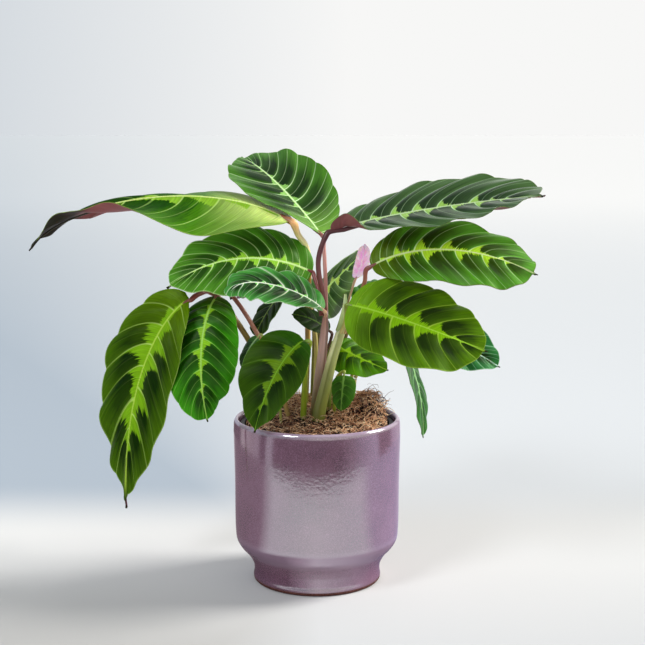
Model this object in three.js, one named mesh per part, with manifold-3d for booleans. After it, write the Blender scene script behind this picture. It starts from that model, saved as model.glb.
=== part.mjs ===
// Potted calathea: a leafy house plant in coir mulch, in a nursery pot, in a glazed cover pot.
// Millimetres, +Z up, origin at the centre of the cover pot's base. The photograph looks along +Y,
// with +X to its right. Each leaf blade, leaf stalk and shoot is a solid of its own.
import * as THREE from "three";
import Module from "manifold-3d";

// ---------- driving dimensions ----------
const POT_HEIGHT = 139;
const POT_RADIUS = 70;
const POT_WALL = 4.6;
const POT_FLOOR = 6;
const FOOT_RADIUS = 54;
const SHOULDER_TOP = 42; // height where the straight side begins
const SHOULDER_CREASE = 25; // height of the crease between the shoulder and the flared foot

const NURSERY_TOP = 134.5;
const NURSERY_LIP_RADIUS = 64.6;
const NURSERY_RADIUS = 61.8;
const NURSERY_BASE_RADIUS = 42;
const NURSERY_WALL = 1.3;
const NURSERY_LIP_BOTTOM = NURSERY_TOP - 8;

const MULCH_LEVEL = 130;
const MULCH_RADIUS = NURSERY_RADIUS - NURSERY_WALL - 0.4;

const GAP = 0.35; // between neighbouring solids
const COLLAR_GAP = 0.5; // between a stalk and its blade
const BLADE_THICKNESS = 0.9;
const COLLAR_HALF_WIDTH = 1.6; // of a blade where it joins its stalk
const DRIP_TIP_HALF_WIDTH = 0.5;
const DRIP_TIP_START = 0.95; // share of the midrib at which the oval outline ends
const BASE_ROUNDNESS = 0.5; // exponent of the outline at the base
const VEIN_SWEEP = 0.85; // how far forward the side veins reach at the margin
const VEIN_BEND = 1.4; // how late they turn forward
const STALK_SIDES = 8;
const STEM_BASE = 117; // stems end this high, in their holes in the mulch
const STEM_HOLE_LENGTH = 45; // long enough to come out of the heaped mulch

const SEED = 7;

const wasm = await Module();
wasm.setup();

// ---------- colours ----------
const LEAF_GREEN = 0x2f5a1b;
const LEAF_DARK = 0x23431a;
const LEAF_BRIGHT = 0x6f9c2b;
const YOUNG_PINK = 0xd98ab4;
const STALK_GREEN = 0x8a9a4c;
const STALK_BROWN = 0x6d4a3c;
const STALK_PURPLE = 0x5c3942;
const STALK_AMBER = 0xb08a4a;
const SHEATH_PINK = 0xa58b7c;
const SHEATH_GREEN = 0xa9b378;
const GLAZE = 0x836083;
const BLACK_PLASTIC = 0x1c1b1b;
const COIR = 0x6e4c33;

// ---------- the leaves ----------
// collar: where the blade joins its stalk. heading: compass of the midrib, 0 to the right and 90 away
// from the camera, turning by swing along the leaf. rise and fall: slope of the midrib at its two ends,
// with ease as the exponent between them and hook as the extra droop of the last stretch. roll: turn of
// the blade about its midrib at base, middle and tip. cup: slope of the left and of the right half, at
// base and tip; fold: where along the leaf that slope changes. curl: how much each half bends on towards
// its margin. taper: 0.2 blunt, 1 pointed. halves: relative width of the left and right half. wave,
// waves: height and number of the margin's waves.
const LEAVES = [
  { name: "top", colour: LEAF_DARK, collar: [3, 24, 291], heading: 135, swing: -19, rise: 40, fall: 8,
    ease: 1.3, length: 143, width: 80, roll: [9, -13, -7], cup: [17, 4, 17, 10], curl: [-6, 6],
    taper: 0.68, wave: 2.2, waves: 4 },
  { name: "far_left", colour: LEAF_BRIGHT, collar: [-22, 8, 303], heading: 155, swing: 62, rise: 30,
    fall: -24, ease: 0.65, hook: -30, length: 238, width: 84, roll: [-34, -36, 90],
    cup: [10, -17, -44, 18], fold: [0.33, 0.63], curl: [16, -5], taper: 0.9, halves: [1.36, 0.82],
    wave: 2.0, waves: 5 },
  { name: "far_right", colour: LEAF_GREEN, collar: [12, 0, 295], heading: 0, swing: -32, rise: 24, fall: 6,
    ease: 0.3, length: 180, width: 65, roll: [23, 43, 24], cup: [13, 7, 21, 19], curl: [-27, 2],
    taper: 0.3, wave: 2.2, waves: 5 },
  { name: "right_upper", colour: LEAF_GREEN, collar: [45, -10, 267], heading: -15, swing: -1, rise: 34,
    fall: -26, ease: 0.7, length: 141, width: 63, roll: [56, 40, 33], cup: [14, -7, 7, -2],
    curl: [-20, -25], taper: 0.35, wave: 2.0, waves: 4 },
  { name: "right_big", colour: LEAF_GREEN, collar: [26, -25, 237], heading: -32, swing: 13, rise: 2,
    fall: -19, ease: 0.3, length: 123, width: 79, roll: [49, 35, 42], cup: [13, -3, 10, -3],
    curl: [-15, -22], taper: 0.5, wave: 1.8, waves: 4 },
  { name: "left_mid", colour: LEAF_GREEN, collar: [-4, 12, 260], heading: 191, swing: 4, rise: 25,
    fall: -38, ease: 1.1, length: 129, width: 66, roll: [-55, -44, -44], cup: [-3, 6, 6, 6],
    curl: [-28, -13], taper: 0.65, wave: 2.2, waves: 4 },
  { name: "left_small", colour: LEAF_DARK, collar: [5, -18, 232], heading: 180, swing: 17, rise: 52,
    fall: 0, ease: 0.5, hook: -120, length: 90, width: 44, roll: [-16, -35, -30], cup: [17, -7, 16, -2],
    curl: [-15, -9], taper: 0.47, wave: 1.8, waves: 5 },
  { name: "hang_left", colour: LEAF_GREEN, collar: [-106, -4, 238], heading: 175, swing: -13, rise: -9,
    fall: -91, ease: 0.3, length: 196, width: 68, roll: [-48, -68, -72], cup: [18, -15, 24, -13],
    curl: [-29, -14], taper: 0.74, wave: 2.4, waves: 5 },
  { name: "hang_left_inner", colour: LEAF_GREEN, collar: [-84, 8, 240], heading: 244, swing: 11, rise: -25,
    fall: -122, ease: 0.7, length: 117, width: 58, roll: [-10, -21, -51], cup: [8, -3, -6, 6],
    curl: [-21, -29], taper: 0.56, wave: 1.6, waves: 4 },
  { name: "front_low", colour: LEAF_DARK, collar: [-10, -42, 210], heading: 207, swing: 1, rise: 0,
    fall: -75, ease: 0.3, length: 86, width: 58, roll: [-20, -29, -20], cup: [11, 8, 13, 6],
    curl: [5, 4], taper: 0.82, wave: 1.4, waves: 3 },
  { name: "right_low", colour: LEAF_GREEN, collar: [15, 24, 196], heading: -26, swing: 2, rise: -24,
    fall: -16, ease: 1, length: 53, width: 39, roll: [49, 27, 42], cup: [-3, 8, -3, 9],
    curl: [-23, -21], taper: 0.72, wave: 1.0, waves: 3, small: true },
  { name: "tiny_front", colour: LEAF_DARK, collar: [22.5, -11, 176], heading: 258, swing: -9, rise: -61,
    fall: -81, ease: 0.9, length: 30, width: 22, roll: [-3, 17, -1], cup: [6, 4, 0, 2],
    curl: [-13, -28], taper: 0.65, wave: 0.5, waves: 2, small: true },
  { name: "back_right", colour: LEAF_GREEN, collar: [80, 15, 206], heading: -13, swing: -3, rise: -3,
    fall: -33, ease: 1, length: 80, width: 47, roll: [34, 43, 34], cup: [10, 8, 6, 7],
    curl: [3, -4], taper: 0.6, wave: 1.4, waves: 3, small: true },
  { name: "hang_right", colour: LEAF_GREEN, collar: [74, 30, 195], heading: 3, swing: 8, rise: -64,
    fall: -91, ease: 1, length: 85, width: 35, roll: [40, 43, 59], cup: [-9, 7, 12, 11],
    curl: [-30, 14], taper: 0.77, wave: 1.0, waves: 3, small: true },
  { name: "centre_back", colour: LEAF_DARK, collar: [-4, 30, 234], heading: 54, swing: 0, rise: 23,
    fall: 27, ease: 1, length: 88, width: 58, roll: [74, 80, 77], cup: [36, 26, -1, -15],
    curl: [22, -20], taper: 0.9, halves: [0.8, 1], wave: 1.4, waves: 3, small: true },
  { name: "back_left", colour: LEAF_DARK, collar: [-26, 24, 245], heading: 192, swing: 6, rise: -45,
    fall: -67, ease: 1, length: 50, width: 27, roll: [-22, -16, -34], cup: [6, 5, 0, 10],
    curl: [-5, -7], taper: 0.5, wave: 0.8, waves: 3, small: true },
  { name: "inner_dark", colour: LEAF_DARK, collar: [10, 14, 210], heading: 183, swing: 5, rise: 41,
    fall: 4, ease: 1.2, length: 35, width: 23, roll: [-35, -34, -39], cup: [3, 6, 3, 9],
    curl: [-9, -6], taper: 0.55, wave: 0.6, waves: 2, small: true },
  { name: "young_pink", colour: YOUNG_PINK, collar: [33, 6, 256], heading: 50, swing: 3, rise: 50,
    fall: 85, ease: 1.1, length: 30, width: 16, roll: [-7, -7, 7], cup: [6, 18, 14, 14],
    curl: [-29, -20], taper: 0.57, wave: 0.3, waves: 2, small: true },
  { name: "low_left_curl", colour: LEAF_GREEN, collar: [-49, -5, 207], heading: 194, swing: -2, rise: -45,
    fall: -77, ease: 1, length: 29, width: 13, roll: [-32, -23, -37], cup: [11, 9, 4, 9],
    curl: [1, -12], taper: 0.64, wave: 0.3, waves: 2, small: true },
  { name: "rear_left", colour: LEAF_DARK, collar: [-8, 56, 228], heading: 126, swing: 10, rise: 24,
    fall: -30, ease: 1, length: 104, width: 54, roll: [-12, -16, -12], cup: [10, 5, 10, 5],
    curl: [-12, -12], taper: 0.6, wave: 1.8, waves: 4, small: true },
  { name: "rear_right", colour: LEAF_GREEN, collar: [38, 46, 226], heading: 48, swing: 6, rise: 24,
    fall: -32, ease: 1, length: 98, width: 50, roll: [12, 14, 10], cup: [10, 5, 10, 5],
    curl: [-12, -12], taper: 0.6, wave: 1.8, waves: 4, small: true },
];

// ---------- the stalks ----------
// Points from the lower end to just before the blade; the tube then runs on into the blade's own
// direction and stops a gap short of it. A stalk whose first point is at STEM_BASE stands in the mulch,
// the others stand on top of the shoot that carries them.
const STALKS = {
  top: { colour: STALK_BROWN, radii: [1.7, 1.6],
    points: [[7.7, 0.6, 225.1], [7.4, 6, 245], [6.6, 14, 268], [5.8, 20, 283]] },
  far_left: { colour: STALK_AMBER, radii: [2.3, 1.8],
    points: [[-11, 24, STEM_BASE], [-9, 28, 165], [-8, 32, 200], [-8, 35, 230], [-7.5, 36, 258],
      [-8.5, 31, 280], [-12, 20, 294]] },
  far_right: { colour: STALK_PURPLE, radii: [2.1, 1.9],
    points: [[7.3, -3.4, 225.1], [6.8, -3.5, 245], [5, -3, 268], [3, -1.6, 282], [4.4, -0.4, 289.5]] },
  right_upper: { colour: STALK_BROWN, radii: [2.0, 1.7],
    points: [[22.6, -3.6, 210.7], [27.5, -5, 222], [34, -8, 239], [39.4, -9.2, 254]] },
  right_big: { colour: STALK_GREEN, radii: [1.9, 1.8],
    points: [[20.2, -7.7, 211.5], [22.5, -10, 217], [24, -14, 226], [23.2, -19, 233]] },
  left_mid: { colour: STALK_PURPLE, radii: [1.5, 1.5],
    points: [[3.4, -4, 225.1], [1.8, 0, 236], [1.2, 7, 249], [0.6, 11.5, 256]] },
  left_small: { colour: SHEATH_PINK, radii: [1.4, 1.4],
    points: [[7.1, -7.5, 225.1], [7.5, -8.8, 229], [8.2, -13, 231]] },
  hang_left: { colour: STALK_GREEN, radii: [2.9, 1.8],
    points: [[-27, 27, STEM_BASE], [-32, 25, 140], [-42, 20, 168], [-54, 18, 194], [-68, 19, 217],
      [-81, 20, 235], [-91, 16, 244], [-98, 7, 245.5]] },
  hang_left_inner: { colour: STALK_BROWN, radii: [2.3, 1.6],
    points: [[-21, 12, STEM_BASE], [-25, 10, 140], [-34, 6, 170], [-47, 4, 203], [-66, 8, 234],
      [-75, 12, 242.5]] },
  front_low: { colour: STALK_GREEN, radii: [2.9, 1.7],
    points: [[-12, 5, STEM_BASE], [-11.2, 3, 145], [-10, -4, 170], [-8, -18, 194], [-5.4, -32, 207.5]] },
  right_low: { colour: STALK_GREEN, radii: [2.3, 1.6],
    points: [[9.5, 16, STEM_BASE], [10, 17, 145], [11, 21, 168], [9, 26, 187]] },
  tiny_front: { colour: STALK_GREEN, radii: [1.6, 1.1],
    points: [[14.6, 9, STEM_BASE], [14.6, 8, 145], [14.6, 6, 164], [16.5, 2, 176], [20.5, -4, 181.5]] },
  back_right: { colour: STALK_GREEN, radii: [1.7, 1.5],
    points: [[32.8, 25.8, 167.1], [43, 34, 188], [57, 31, 201], [68, 22, 206]] },
  hang_right: { colour: STALK_GREEN, radii: [1.6, 1.3],
    points: [[29.6, 30.4, 166.9], [39, 41, 187], [55, 42, 201], [67, 36, 204.5]] },
  centre_back: { colour: STALK_PURPLE, radii: [1.8, 1.6],
    points: [[-3, 29, STEM_BASE], [-1.5, 28.5, 165], [-1, 28, 200], [-4, 27, 220]] },
  back_left: { colour: STALK_GREEN, radii: [1.5, 1.2],
    points: [[-6, 36, STEM_BASE], [-4, 38, 165], [-3, 40, 205], [-5, 42, 230], [-13, 40, 247],
      [-19, 31, 252]] },
  inner_dark: { colour: STALK_GREEN, radii: [1.4, 1.1],
    points: [[4.6, 23, STEM_BASE], [5.2, 21, 165], [7, 16, 188], [11.5, 13.2, 202]] },
  young_pink: { colour: STALK_GREEN, radii: [1.0, 0.9],
    points: [[20.9, 0.9, 211.2], [23.5, 1.8, 224], [27.3, 2.2, 240]] },
  low_left_curl: { colour: STALK_GREEN, radii: [1.2, 1.0],
    points: [[-29, -1, STEM_BASE], [-32, -3, 155], [-39, -6, 186], [-43.5, -6, 205]] },
  rear_left: { colour: STALK_BROWN, radii: [1.9, 1.6],
    points: [[3, 43, STEM_BASE], [3, 46, 165], [1, 50, 205]] },
  rear_right: { colour: STALK_BROWN, radii: [1.9, 1.6],
    points: [[18, 38, STEM_BASE], [20, 38.5, 165], [26, 40.5, 205]] },
};

// The sheathed shoots, and the new leaf that is still rolled up.
const SHOOTS = {
  shoot_centre: { colour: SHEATH_PINK, radii: [5.2, 5.0, 4.7, 4.6, 4.8],
    points: [[-1.6, 14, STEM_BASE], [-0.6, 12, 142], [1.4, 8, 166], [4.4, 2.4, 192], [6.8, -3.4, 224]] },
  shoot_right: { colour: SHEATH_GREEN, radii: [5.8, 5.7, 5.3, 5.1, 5.3],
    points: [[-1.4, 0.4, STEM_BASE], [1.6, 0, 140], [7, -2, 165], [13.4, -3, 191], [19.5, -3.2, 210.6]] },
  shoot_back_right: { colour: SHEATH_GREEN, radii: [3.3, 3.2, 3.6],
    points: [[27, 29, STEM_BASE], [28.4, 28.6, 140], [31, 28, 165.6]] },
  rolled_leaf: { colour: SHEATH_GREEN, radii: [2.6, 2.5, 1.9, 0.9],
    points: [[18, -2.8, 212], [21.4, -2.5, 223], [23.2, -2, 233], [23.6, -2, 243]] },
};

// ---------- small helpers ----------
const radians = THREE.MathUtils.degToRad;

function smooth(low, high, value) {
  return THREE.MathUtils.smoothstep(value, low, high);
}

function addNode(group, name, geometry, colour, roughness = 0.6) {
  const material = new THREE.MeshStandardMaterial({ color: colour, roughness });
  material.name = name;
  const mesh = new THREE.Mesh(geometry, material);
  mesh.name = name;
  group.add(mesh);
}

function indexed(positions, triangles) {
  const geometry = new THREE.BufferGeometry();
  geometry.setAttribute("position", new THREE.Float32BufferAttribute(positions, 3));
  geometry.setIndex(triangles);
  return geometry;
}

// ---------- leaf blades ----------
// The midrib as points, directions and the two directions across it, sampled evenly along its length.
const RIB_STEPS = 120;

function midrib(leaf) {
  const points = [];
  const along = [];
  const across = [];
  const above = [];
  const step = leaf.length / RIB_STEPS;
  const here = new THREE.Vector3(...leaf.collar);
  for (let i = 0; i <= RIB_STEPS; i += 1) {
    const s = i / RIB_STEPS;
    const pitch = radians(
      leaf.rise + (leaf.fall - leaf.rise) * s ** leaf.ease + (leaf.hook ?? 0) * s ** 8);
    const heading = radians(leaf.heading + leaf.swing * s);
    const tangent = new THREE.Vector3(
      Math.cos(pitch) * Math.cos(heading), Math.cos(pitch) * Math.sin(heading), Math.sin(pitch));
    if (i > 0) {
      here.addScaledVector(along[i - 1].clone().add(tangent), step / 2);
    }
    const level = new THREE.Vector3(-Math.sin(heading), Math.cos(heading), 0);
    const up = tangent.clone().cross(level);
    const [base, middle, tip] = leaf.roll;
    const roll = radians(base * (1 - s) * (1 - 2 * s) + 4 * middle * s * (1 - s) + tip * s * (2 * s - 1));
    points.push(here.clone());
    along.push(tangent);
    across.push(level.clone().multiplyScalar(Math.cos(roll)).addScaledVector(up, Math.sin(roll)));
    above.push(up.clone().multiplyScalar(Math.cos(roll)).addScaledVector(level, -Math.sin(roll)));
  }
  return { points, along, across, above };
}

function sampleRib(list, s) {
  const place = THREE.MathUtils.clamp(s, 0, 1) * RIB_STEPS;
  const first = Math.min(Math.floor(place), RIB_STEPS - 1);
  return list[first].clone().lerp(list[first + 1], place - first);
}

// Width of the blade along its length, 1 at its widest.
function outline(s, taper) {
  const peak = BASE_ROUNDNESS / (BASE_ROUNDNESS + taper);
  return (s ** BASE_ROUNDNESS * (1 - s) ** taper) / (peak ** BASE_ROUNDNESS * (1 - peak) ** taper);
}

// A point of the blade's middle surface. a runs from base to tip along the rib, t from -1 at the right
// margin to 1 at the left; lines of equal a run out and forward, as the side veins do.
function bladePoint(leaf, rib, a, t) {
  const left = t > 0;
  const out = Math.abs(t);
  const sweep = VEIN_SWEEP * a * (1 - a);
  const marginS = a + sweep;
  const half = (leaf.width / 2) * outline(THREE.MathUtils.clamp(marginS / DRIP_TIP_START, 0, 1), leaf.taper)
    + COLLAR_HALF_WIDTH * (1 - marginS) + DRIP_TIP_HALF_WIDTH;
  const share = (leaf.halves ?? [1, 1])[left ? 0 : 1];
  const s = a + sweep * out ** VEIN_BEND;
  const [foldStart, foldEnd] = leaf.fold ?? [0, 1];
  const turn = smooth(foldStart, foldEnd, a);
  const [leftBase, leftTip, rightBase, rightTip] = leaf.cup;
  const cup = left ? leftBase + (leftTip - leftBase) * turn : rightBase + (rightTip - rightBase) * turn;
  const slope = radians(cup + (leaf.curl[left ? 0 : 1] * out) / 2);
  const width = half * out * (1 + (share - 1) * smooth(0, 0.3, a));
  const phase = 2 * Math.PI * leaf.waves * a + (left ? 0 : 1.5);
  const ripple = leaf.wave * out ** 2 * Math.sin(phase) * Math.sqrt(Math.sin(Math.PI * Math.min(a, 1)));
  return sampleRib(rib.points, s)
    .addScaledVector(sampleRib(rib.across, s), width * Math.cos(slope) * Math.sign(t))
    .addScaledVector(sampleRib(rib.above, s), width * Math.sin(slope) + ripple);
}

function bladeGeometry(leaf) {
  const rows = leaf.small ? 12 : 20;
  const columns = leaf.small ? 4 : 6;
  const rib = midrib(leaf);
  const middle = [];
  for (let i = 0; i <= rows; i += 1) {
    const even = i / rows;
    const a = (even + (1 - Math.cos(Math.PI * even)) / 2) / 2; // rows lie closer at the two ends
    const row = [];
    for (let j = 0; j <= columns; j += 1) {
      row.push(bladePoint(leaf, rib, a, (2 * j) / columns - 1));
    }
    middle.push(row);
  }
  const upper = [];
  const lower = [];
  for (let i = 0; i <= rows; i += 1) {
    for (let j = 0; j <= columns; j += 1) {
      const forward = middle[Math.min(i + 1, rows)][j].clone().sub(middle[Math.max(i - 1, 0)][j]);
      const sideways = middle[i][Math.min(j + 1, columns)].clone().sub(middle[i][Math.max(j - 1, 0)]);
      const normal = forward.cross(sideways).normalize().multiplyScalar(BLADE_THICKNESS / 2);
      upper.push(...middle[i][j].clone().add(normal));
      lower.push(...middle[i][j].clone().sub(normal));
    }
  }
  const stride = columns + 1;
  const count = (rows + 1) * stride;
  const triangles = [];
  for (let i = 0; i < rows; i += 1) {
    for (let j = 0; j < columns; j += 1) {
      const a = i * stride + j;
      const b = a + stride;
      triangles.push(a, b, b + 1, a, b + 1, a + 1);
      triangles.push(count + a, count + b + 1, count + b, count + a, count + a + 1, count + b + 1);
    }
  }
  const edge = (p, q) => triangles.push(p, q, count + q, p, count + q, count + p);
  for (let i = 0; i < rows; i += 1) {
    edge(i * stride + stride, i * stride);
    edge(i * stride + columns, (i + 1) * stride + columns);
  }
  for (let j = 0; j < columns; j += 1) {
    edge(j, j + 1);
    edge(rows * stride + j + 1, rows * stride + j);
  }
  return indexed([...upper, ...lower], triangles);
}

// ---------- stalks and shoots ----------
function tubeGeometry(points, radii, sides, stepLength) {
  const curve = new THREE.CatmullRomCurve3(points.map((p) => new THREE.Vector3(...p)), false, "centripetal");
  const steps = Math.max(4, Math.round(curve.getLength() / stepLength));
  const frames = curve.computeFrenetFrames(steps, false);
  const positions = [];
  for (let i = 0; i <= steps; i += 1) {
    const centre = curve.getPointAt(i / steps);
    const place = (i / steps) * (radii.length - 1);
    const first = Math.min(Math.floor(place), radii.length - 2);
    const radius = THREE.MathUtils.lerp(radii[first], radii[first + 1], place - first);
    for (let k = 0; k < sides; k += 1) {
      const angle = (2 * Math.PI * k) / sides;
      const corner = centre.clone()
        .addScaledVector(frames.normals[i], radius * Math.cos(angle))
        .addScaledVector(frames.binormals[i], radius * Math.sin(angle));
      positions.push(...corner);
    }
  }
  const triangles = [];
  for (let i = 0; i < steps; i += 1) {
    for (let k = 0; k < sides; k += 1) {
      const next = (k + 1) % sides;
      const a = i * sides + k;
      const b = i * sides + next;
      triangles.push(a, b, b + sides, a, b + sides, a + sides);
    }
  }
  for (let k = 1; k < sides - 1; k += 1) {
    triangles.push(0, k + 1, k);
    const last = steps * sides;
    triangles.push(last, last + k, last + k + 1);
  }
  return indexed(positions, triangles);
}

// The stalk's last two points lie on the blade's own line, so that it runs straight into the leaf.
function stalkPoints(leaf, stalk) {
  const rib = midrib(leaf);
  const end = rib.points[0].clone().addScaledVector(rib.along[0], -COLLAR_GAP);
  const before = rib.points[0].clone().addScaledVector(rib.along[0], leaf.small ? -3.5 : -5.5);
  return [...stalk.points, before.toArray(), end.toArray()];
}

// ---------- pots ----------
function latheGeometry(profile, sides) {
  const points = profile.map(([radius, z]) => new THREE.Vector2(radius, z));
  return new THREE.LatheGeometry(points, sides).rotateX(Math.PI / 2);
}

function coverPot() {
  const outer = POT_RADIUS;
  const inner = POT_RADIUS - POT_WALL;
  const foot = [[0, 0], [FOOT_RADIUS - 2.4, 0], [FOOT_RADIUS - 0.5, 0.9], [FOOT_RADIUS, 3],
    [FOOT_RADIUS - 0.7, 8], [FOOT_RADIUS, 14], [FOOT_RADIUS + 2, 18.5], [FOOT_RADIUS + 3.8, 21.5]];
  const shoulder = [[FOOT_RADIUS + 6.4, SHOULDER_CREASE], [FOOT_RADIUS + 9.6, 28.4], [outer - 4, 31.5],
    [outer - 2, 35.5], [outer - 1.1, SHOULDER_TOP]];
  const rim = [[outer, POT_HEIGHT - 5], [outer - 0.7, POT_HEIGHT - 1.4], [outer - 2.3, POT_HEIGHT],
    [inner + 1.1, POT_HEIGHT - 0.4], [inner, POT_HEIGHT - 3]];
  const inside = [[inner - 0.4, 90], [inner - 1.4, 44], [inner - 4.5, 33], [FOOT_RADIUS + 1.5, 25],
    [FOOT_RADIUS - 4.4, 16], [FOOT_RADIUS - 5.6, 9], [FOOT_RADIUS - 8, POT_FLOOR], [0, POT_FLOOR]];
  return latheGeometry([...foot, ...shoulder, ...rim, ...inside], 44);
}

function nurseryPot() {
  const floor = POT_FLOOR + GAP;
  const wall = NURSERY_WALL;
  return latheGeometry([
    [0, floor], [NURSERY_BASE_RADIUS, floor], [NURSERY_RADIUS, NURSERY_LIP_BOTTOM],
    [NURSERY_RADIUS, NURSERY_TOP - 5], [NURSERY_LIP_RADIUS, NURSERY_TOP - 4.4],
    [NURSERY_LIP_RADIUS, NURSERY_TOP - 0.6], [NURSERY_LIP_RADIUS - 0.7, NURSERY_TOP],
    [NURSERY_RADIUS - wall + 0.4, NURSERY_TOP], [NURSERY_RADIUS - wall, NURSERY_TOP - 1],
    [NURSERY_RADIUS - wall, NURSERY_LIP_BOTTOM - 0.2], [NURSERY_BASE_RADIUS - wall, floor + wall],
    [0, floor + wall],
  ], 40);
}

// ---------- mulch ----------
// Height of the mulch: nearly level in front, heaped behind the stems on the right and a little on the left.
function mulchHeight(x, y) {
  const heap = (cx, cy, spread, height) =>
    height * Math.exp(-((x - cx) ** 2 + (y - cy) ** 2) / (2 * spread ** 2));
  const edge = 1 - smooth(MULCH_RADIUS - 8, MULCH_RADIUS, Math.hypot(x, y));
  return MULCH_LEVEL + heap(40, 22, 18, 19) * edge + heap(-32, 30, 15, 9) * edge + heap(0, 8, 20, 3);
}

// A seeded generator, so that the same mulch is made every time.
function randomSource(seed) {
  let state = seed;
  return () => {
    state = (state * 1664525 + 1013904223) % 4294967296;
    return state / 4294967296;
  };
}

function mulchGeometry() {
  const random = randomSource(SEED);
  const sides = 36;
  const rings = [9, 18, 27, 36, 44, 51, 56.5, MULCH_RADIUS];
  const floorZ = POT_FLOOR + GAP + NURSERY_WALL + GAP;
  const wallTop = NURSERY_LIP_BOTTOM - 0.4;
  const slope = (NURSERY_RADIUS - NURSERY_BASE_RADIUS) / (wallTop - POT_FLOOR);
  const floorRadius = MULCH_RADIUS - slope * (wallTop - floorZ) - GAP;
  const positions = [0, 0, mulchHeight(0, 0)];
  rings.forEach((radius, ring) => {
    const rough = ring === rings.length - 1 ? 0.3 : 1.5;
    for (let k = 0; k < sides; k += 1) {
      const angle = (2 * Math.PI * (k + (ring % 2) / 2)) / sides;
      const x = radius * Math.cos(angle);
      const y = radius * Math.sin(angle);
      positions.push(x, y, mulchHeight(x, y) + rough * (2 * random() - 1));
    }
  });
  const triangles = [];
  for (let k = 0; k < sides; k += 1) {
    triangles.push(0, 1 + k, 1 + ((k + 1) % sides));
  }
  for (let ring = 0; ring < rings.length - 1; ring += 1) {
    const inner = 1 + ring * sides;
    const outer = inner + sides;
    for (let k = 0; k < sides; k += 1) {
      const next = (k + 1) % sides;
      if (ring % 2 === 0) {
        triangles.push(inner + k, outer + k, inner + next, inner + next, outer + k, outer + next);
      } else {
        triangles.push(inner + k, outer + next, inner + next, inner + k, outer + k, outer + next);
      }
    }
  }
  const rim = 1 + (rings.length - 1) * sides;
  const foot = rim + sides;
  const shoulder = foot + sides;
  const lastShift = ((rings.length - 1) % 2) / 2;
  for (const [radius, z] of [[MULCH_RADIUS, wallTop], [floorRadius, floorZ]]) {
    for (let k = 0; k < sides; k += 1) {
      const angle = (2 * Math.PI * (k + lastShift)) / sides;
      positions.push(radius * Math.cos(angle), radius * Math.sin(angle), z);
    }
  }
  for (const [high, low] of [[rim, foot], [foot, shoulder]]) {
    for (let k = 0; k < sides; k += 1) {
      const next = (k + 1) % sides;
      triangles.push(high + k, low + k, high + next, high + next, low + k, low + next);
    }
  }
  const bottom = positions.length / 3;
  positions.push(0, 0, floorZ);
  for (let k = 0; k < sides; k += 1) {
    triangles.push(bottom, shoulder + ((k + 1) % sides), shoulder + k);
  }
  return indexed(positions, triangles);
}

function toManifold(geometry) {
  return new wasm.Manifold(new wasm.Mesh({
    numProp: 3,
    vertProperties: new Float32Array(geometry.attributes.position.array),
    triVerts: new Uint32Array(geometry.index.array),
  }));
}

function fromManifold(solid) {
  const mesh = solid.getMesh();
  return indexed(Array.from(mesh.vertProperties), Array.from(mesh.triVerts));
}

// A plain round hole for each stem that stands in the mulch, along the stem's own first stretch.
function stemHole(points, radius) {
  const from = new THREE.Vector3(...points[0]);
  const direction = new THREE.Vector3(...points[1]).sub(from).normalize();
  const start = from.addScaledVector(direction, -GAP);
  const end = start.clone().addScaledVector(direction, STEM_HOLE_LENGTH);
  const wide = radius + GAP;
  return toManifold(tubeGeometry(
    [start.toArray(), start.clone().lerp(end, 0.5).toArray(), end.toArray()], [wide, wide], 12,
    STEM_HOLE_LENGTH));
}

function mulchWithHoles() {
  let mulch = toManifold(mulchGeometry());
  for (const stem of [...Object.values(STALKS), ...Object.values(SHOOTS)]) {
    if (stem.points[0][2] === STEM_BASE) {
      mulch = mulch.subtract(stemHole(stem.points, stem.radii[0] + 0.3));
    }
  }
  return fromManifold(mulch);
}

// ---------- the plant in its pots ----------
const plant = new THREE.Group();
plant.name = "potted_calathea";

addNode(plant, "cover_pot", coverPot(), GLAZE, 0.2);
addNode(plant, "nursery_pot", nurseryPot(), BLACK_PLASTIC, 0.5);
addNode(plant, "coir_mulch", mulchWithHoles(), COIR, 0.95);

for (const [name, shoot] of Object.entries(SHOOTS)) {
  addNode(plant, name, tubeGeometry(shoot.points, shoot.radii, 10, 9), shoot.colour);
}
for (const leaf of LEAVES) {
  const stalk = STALKS[leaf.name];
  addNode(plant, `stalk_${leaf.name}`, tubeGeometry(stalkPoints(leaf, stalk), stalk.radii, STALK_SIDES, 11),
    stalk.colour);
  addNode(plant, `leaf_${leaf.name}`, bladeGeometry(leaf), leaf.colour);
}

export default plant;
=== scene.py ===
# Potted calathea: velvety patterned leaves on thin stalks, coir mulch, and a glazed ceramic cover pot.
# Sizes are written in millimetres and turned to metres where a mesh gets them.
import math
import random
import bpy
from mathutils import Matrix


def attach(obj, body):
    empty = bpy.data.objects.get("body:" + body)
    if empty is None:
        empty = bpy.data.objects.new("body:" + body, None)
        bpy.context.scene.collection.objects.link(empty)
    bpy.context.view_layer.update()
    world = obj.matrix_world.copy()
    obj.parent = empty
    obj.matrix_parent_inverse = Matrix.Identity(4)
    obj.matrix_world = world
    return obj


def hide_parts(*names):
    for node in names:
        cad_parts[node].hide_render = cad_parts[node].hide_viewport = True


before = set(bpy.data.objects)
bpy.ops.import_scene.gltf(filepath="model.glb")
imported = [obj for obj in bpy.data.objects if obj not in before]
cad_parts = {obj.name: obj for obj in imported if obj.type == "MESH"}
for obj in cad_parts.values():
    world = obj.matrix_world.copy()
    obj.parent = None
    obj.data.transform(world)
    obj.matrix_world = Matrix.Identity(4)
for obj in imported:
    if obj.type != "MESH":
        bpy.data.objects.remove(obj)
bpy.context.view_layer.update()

from types import SimpleNamespace

import bpy
import numpy as np
from mathutils import Vector

MM = 0.001

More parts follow.
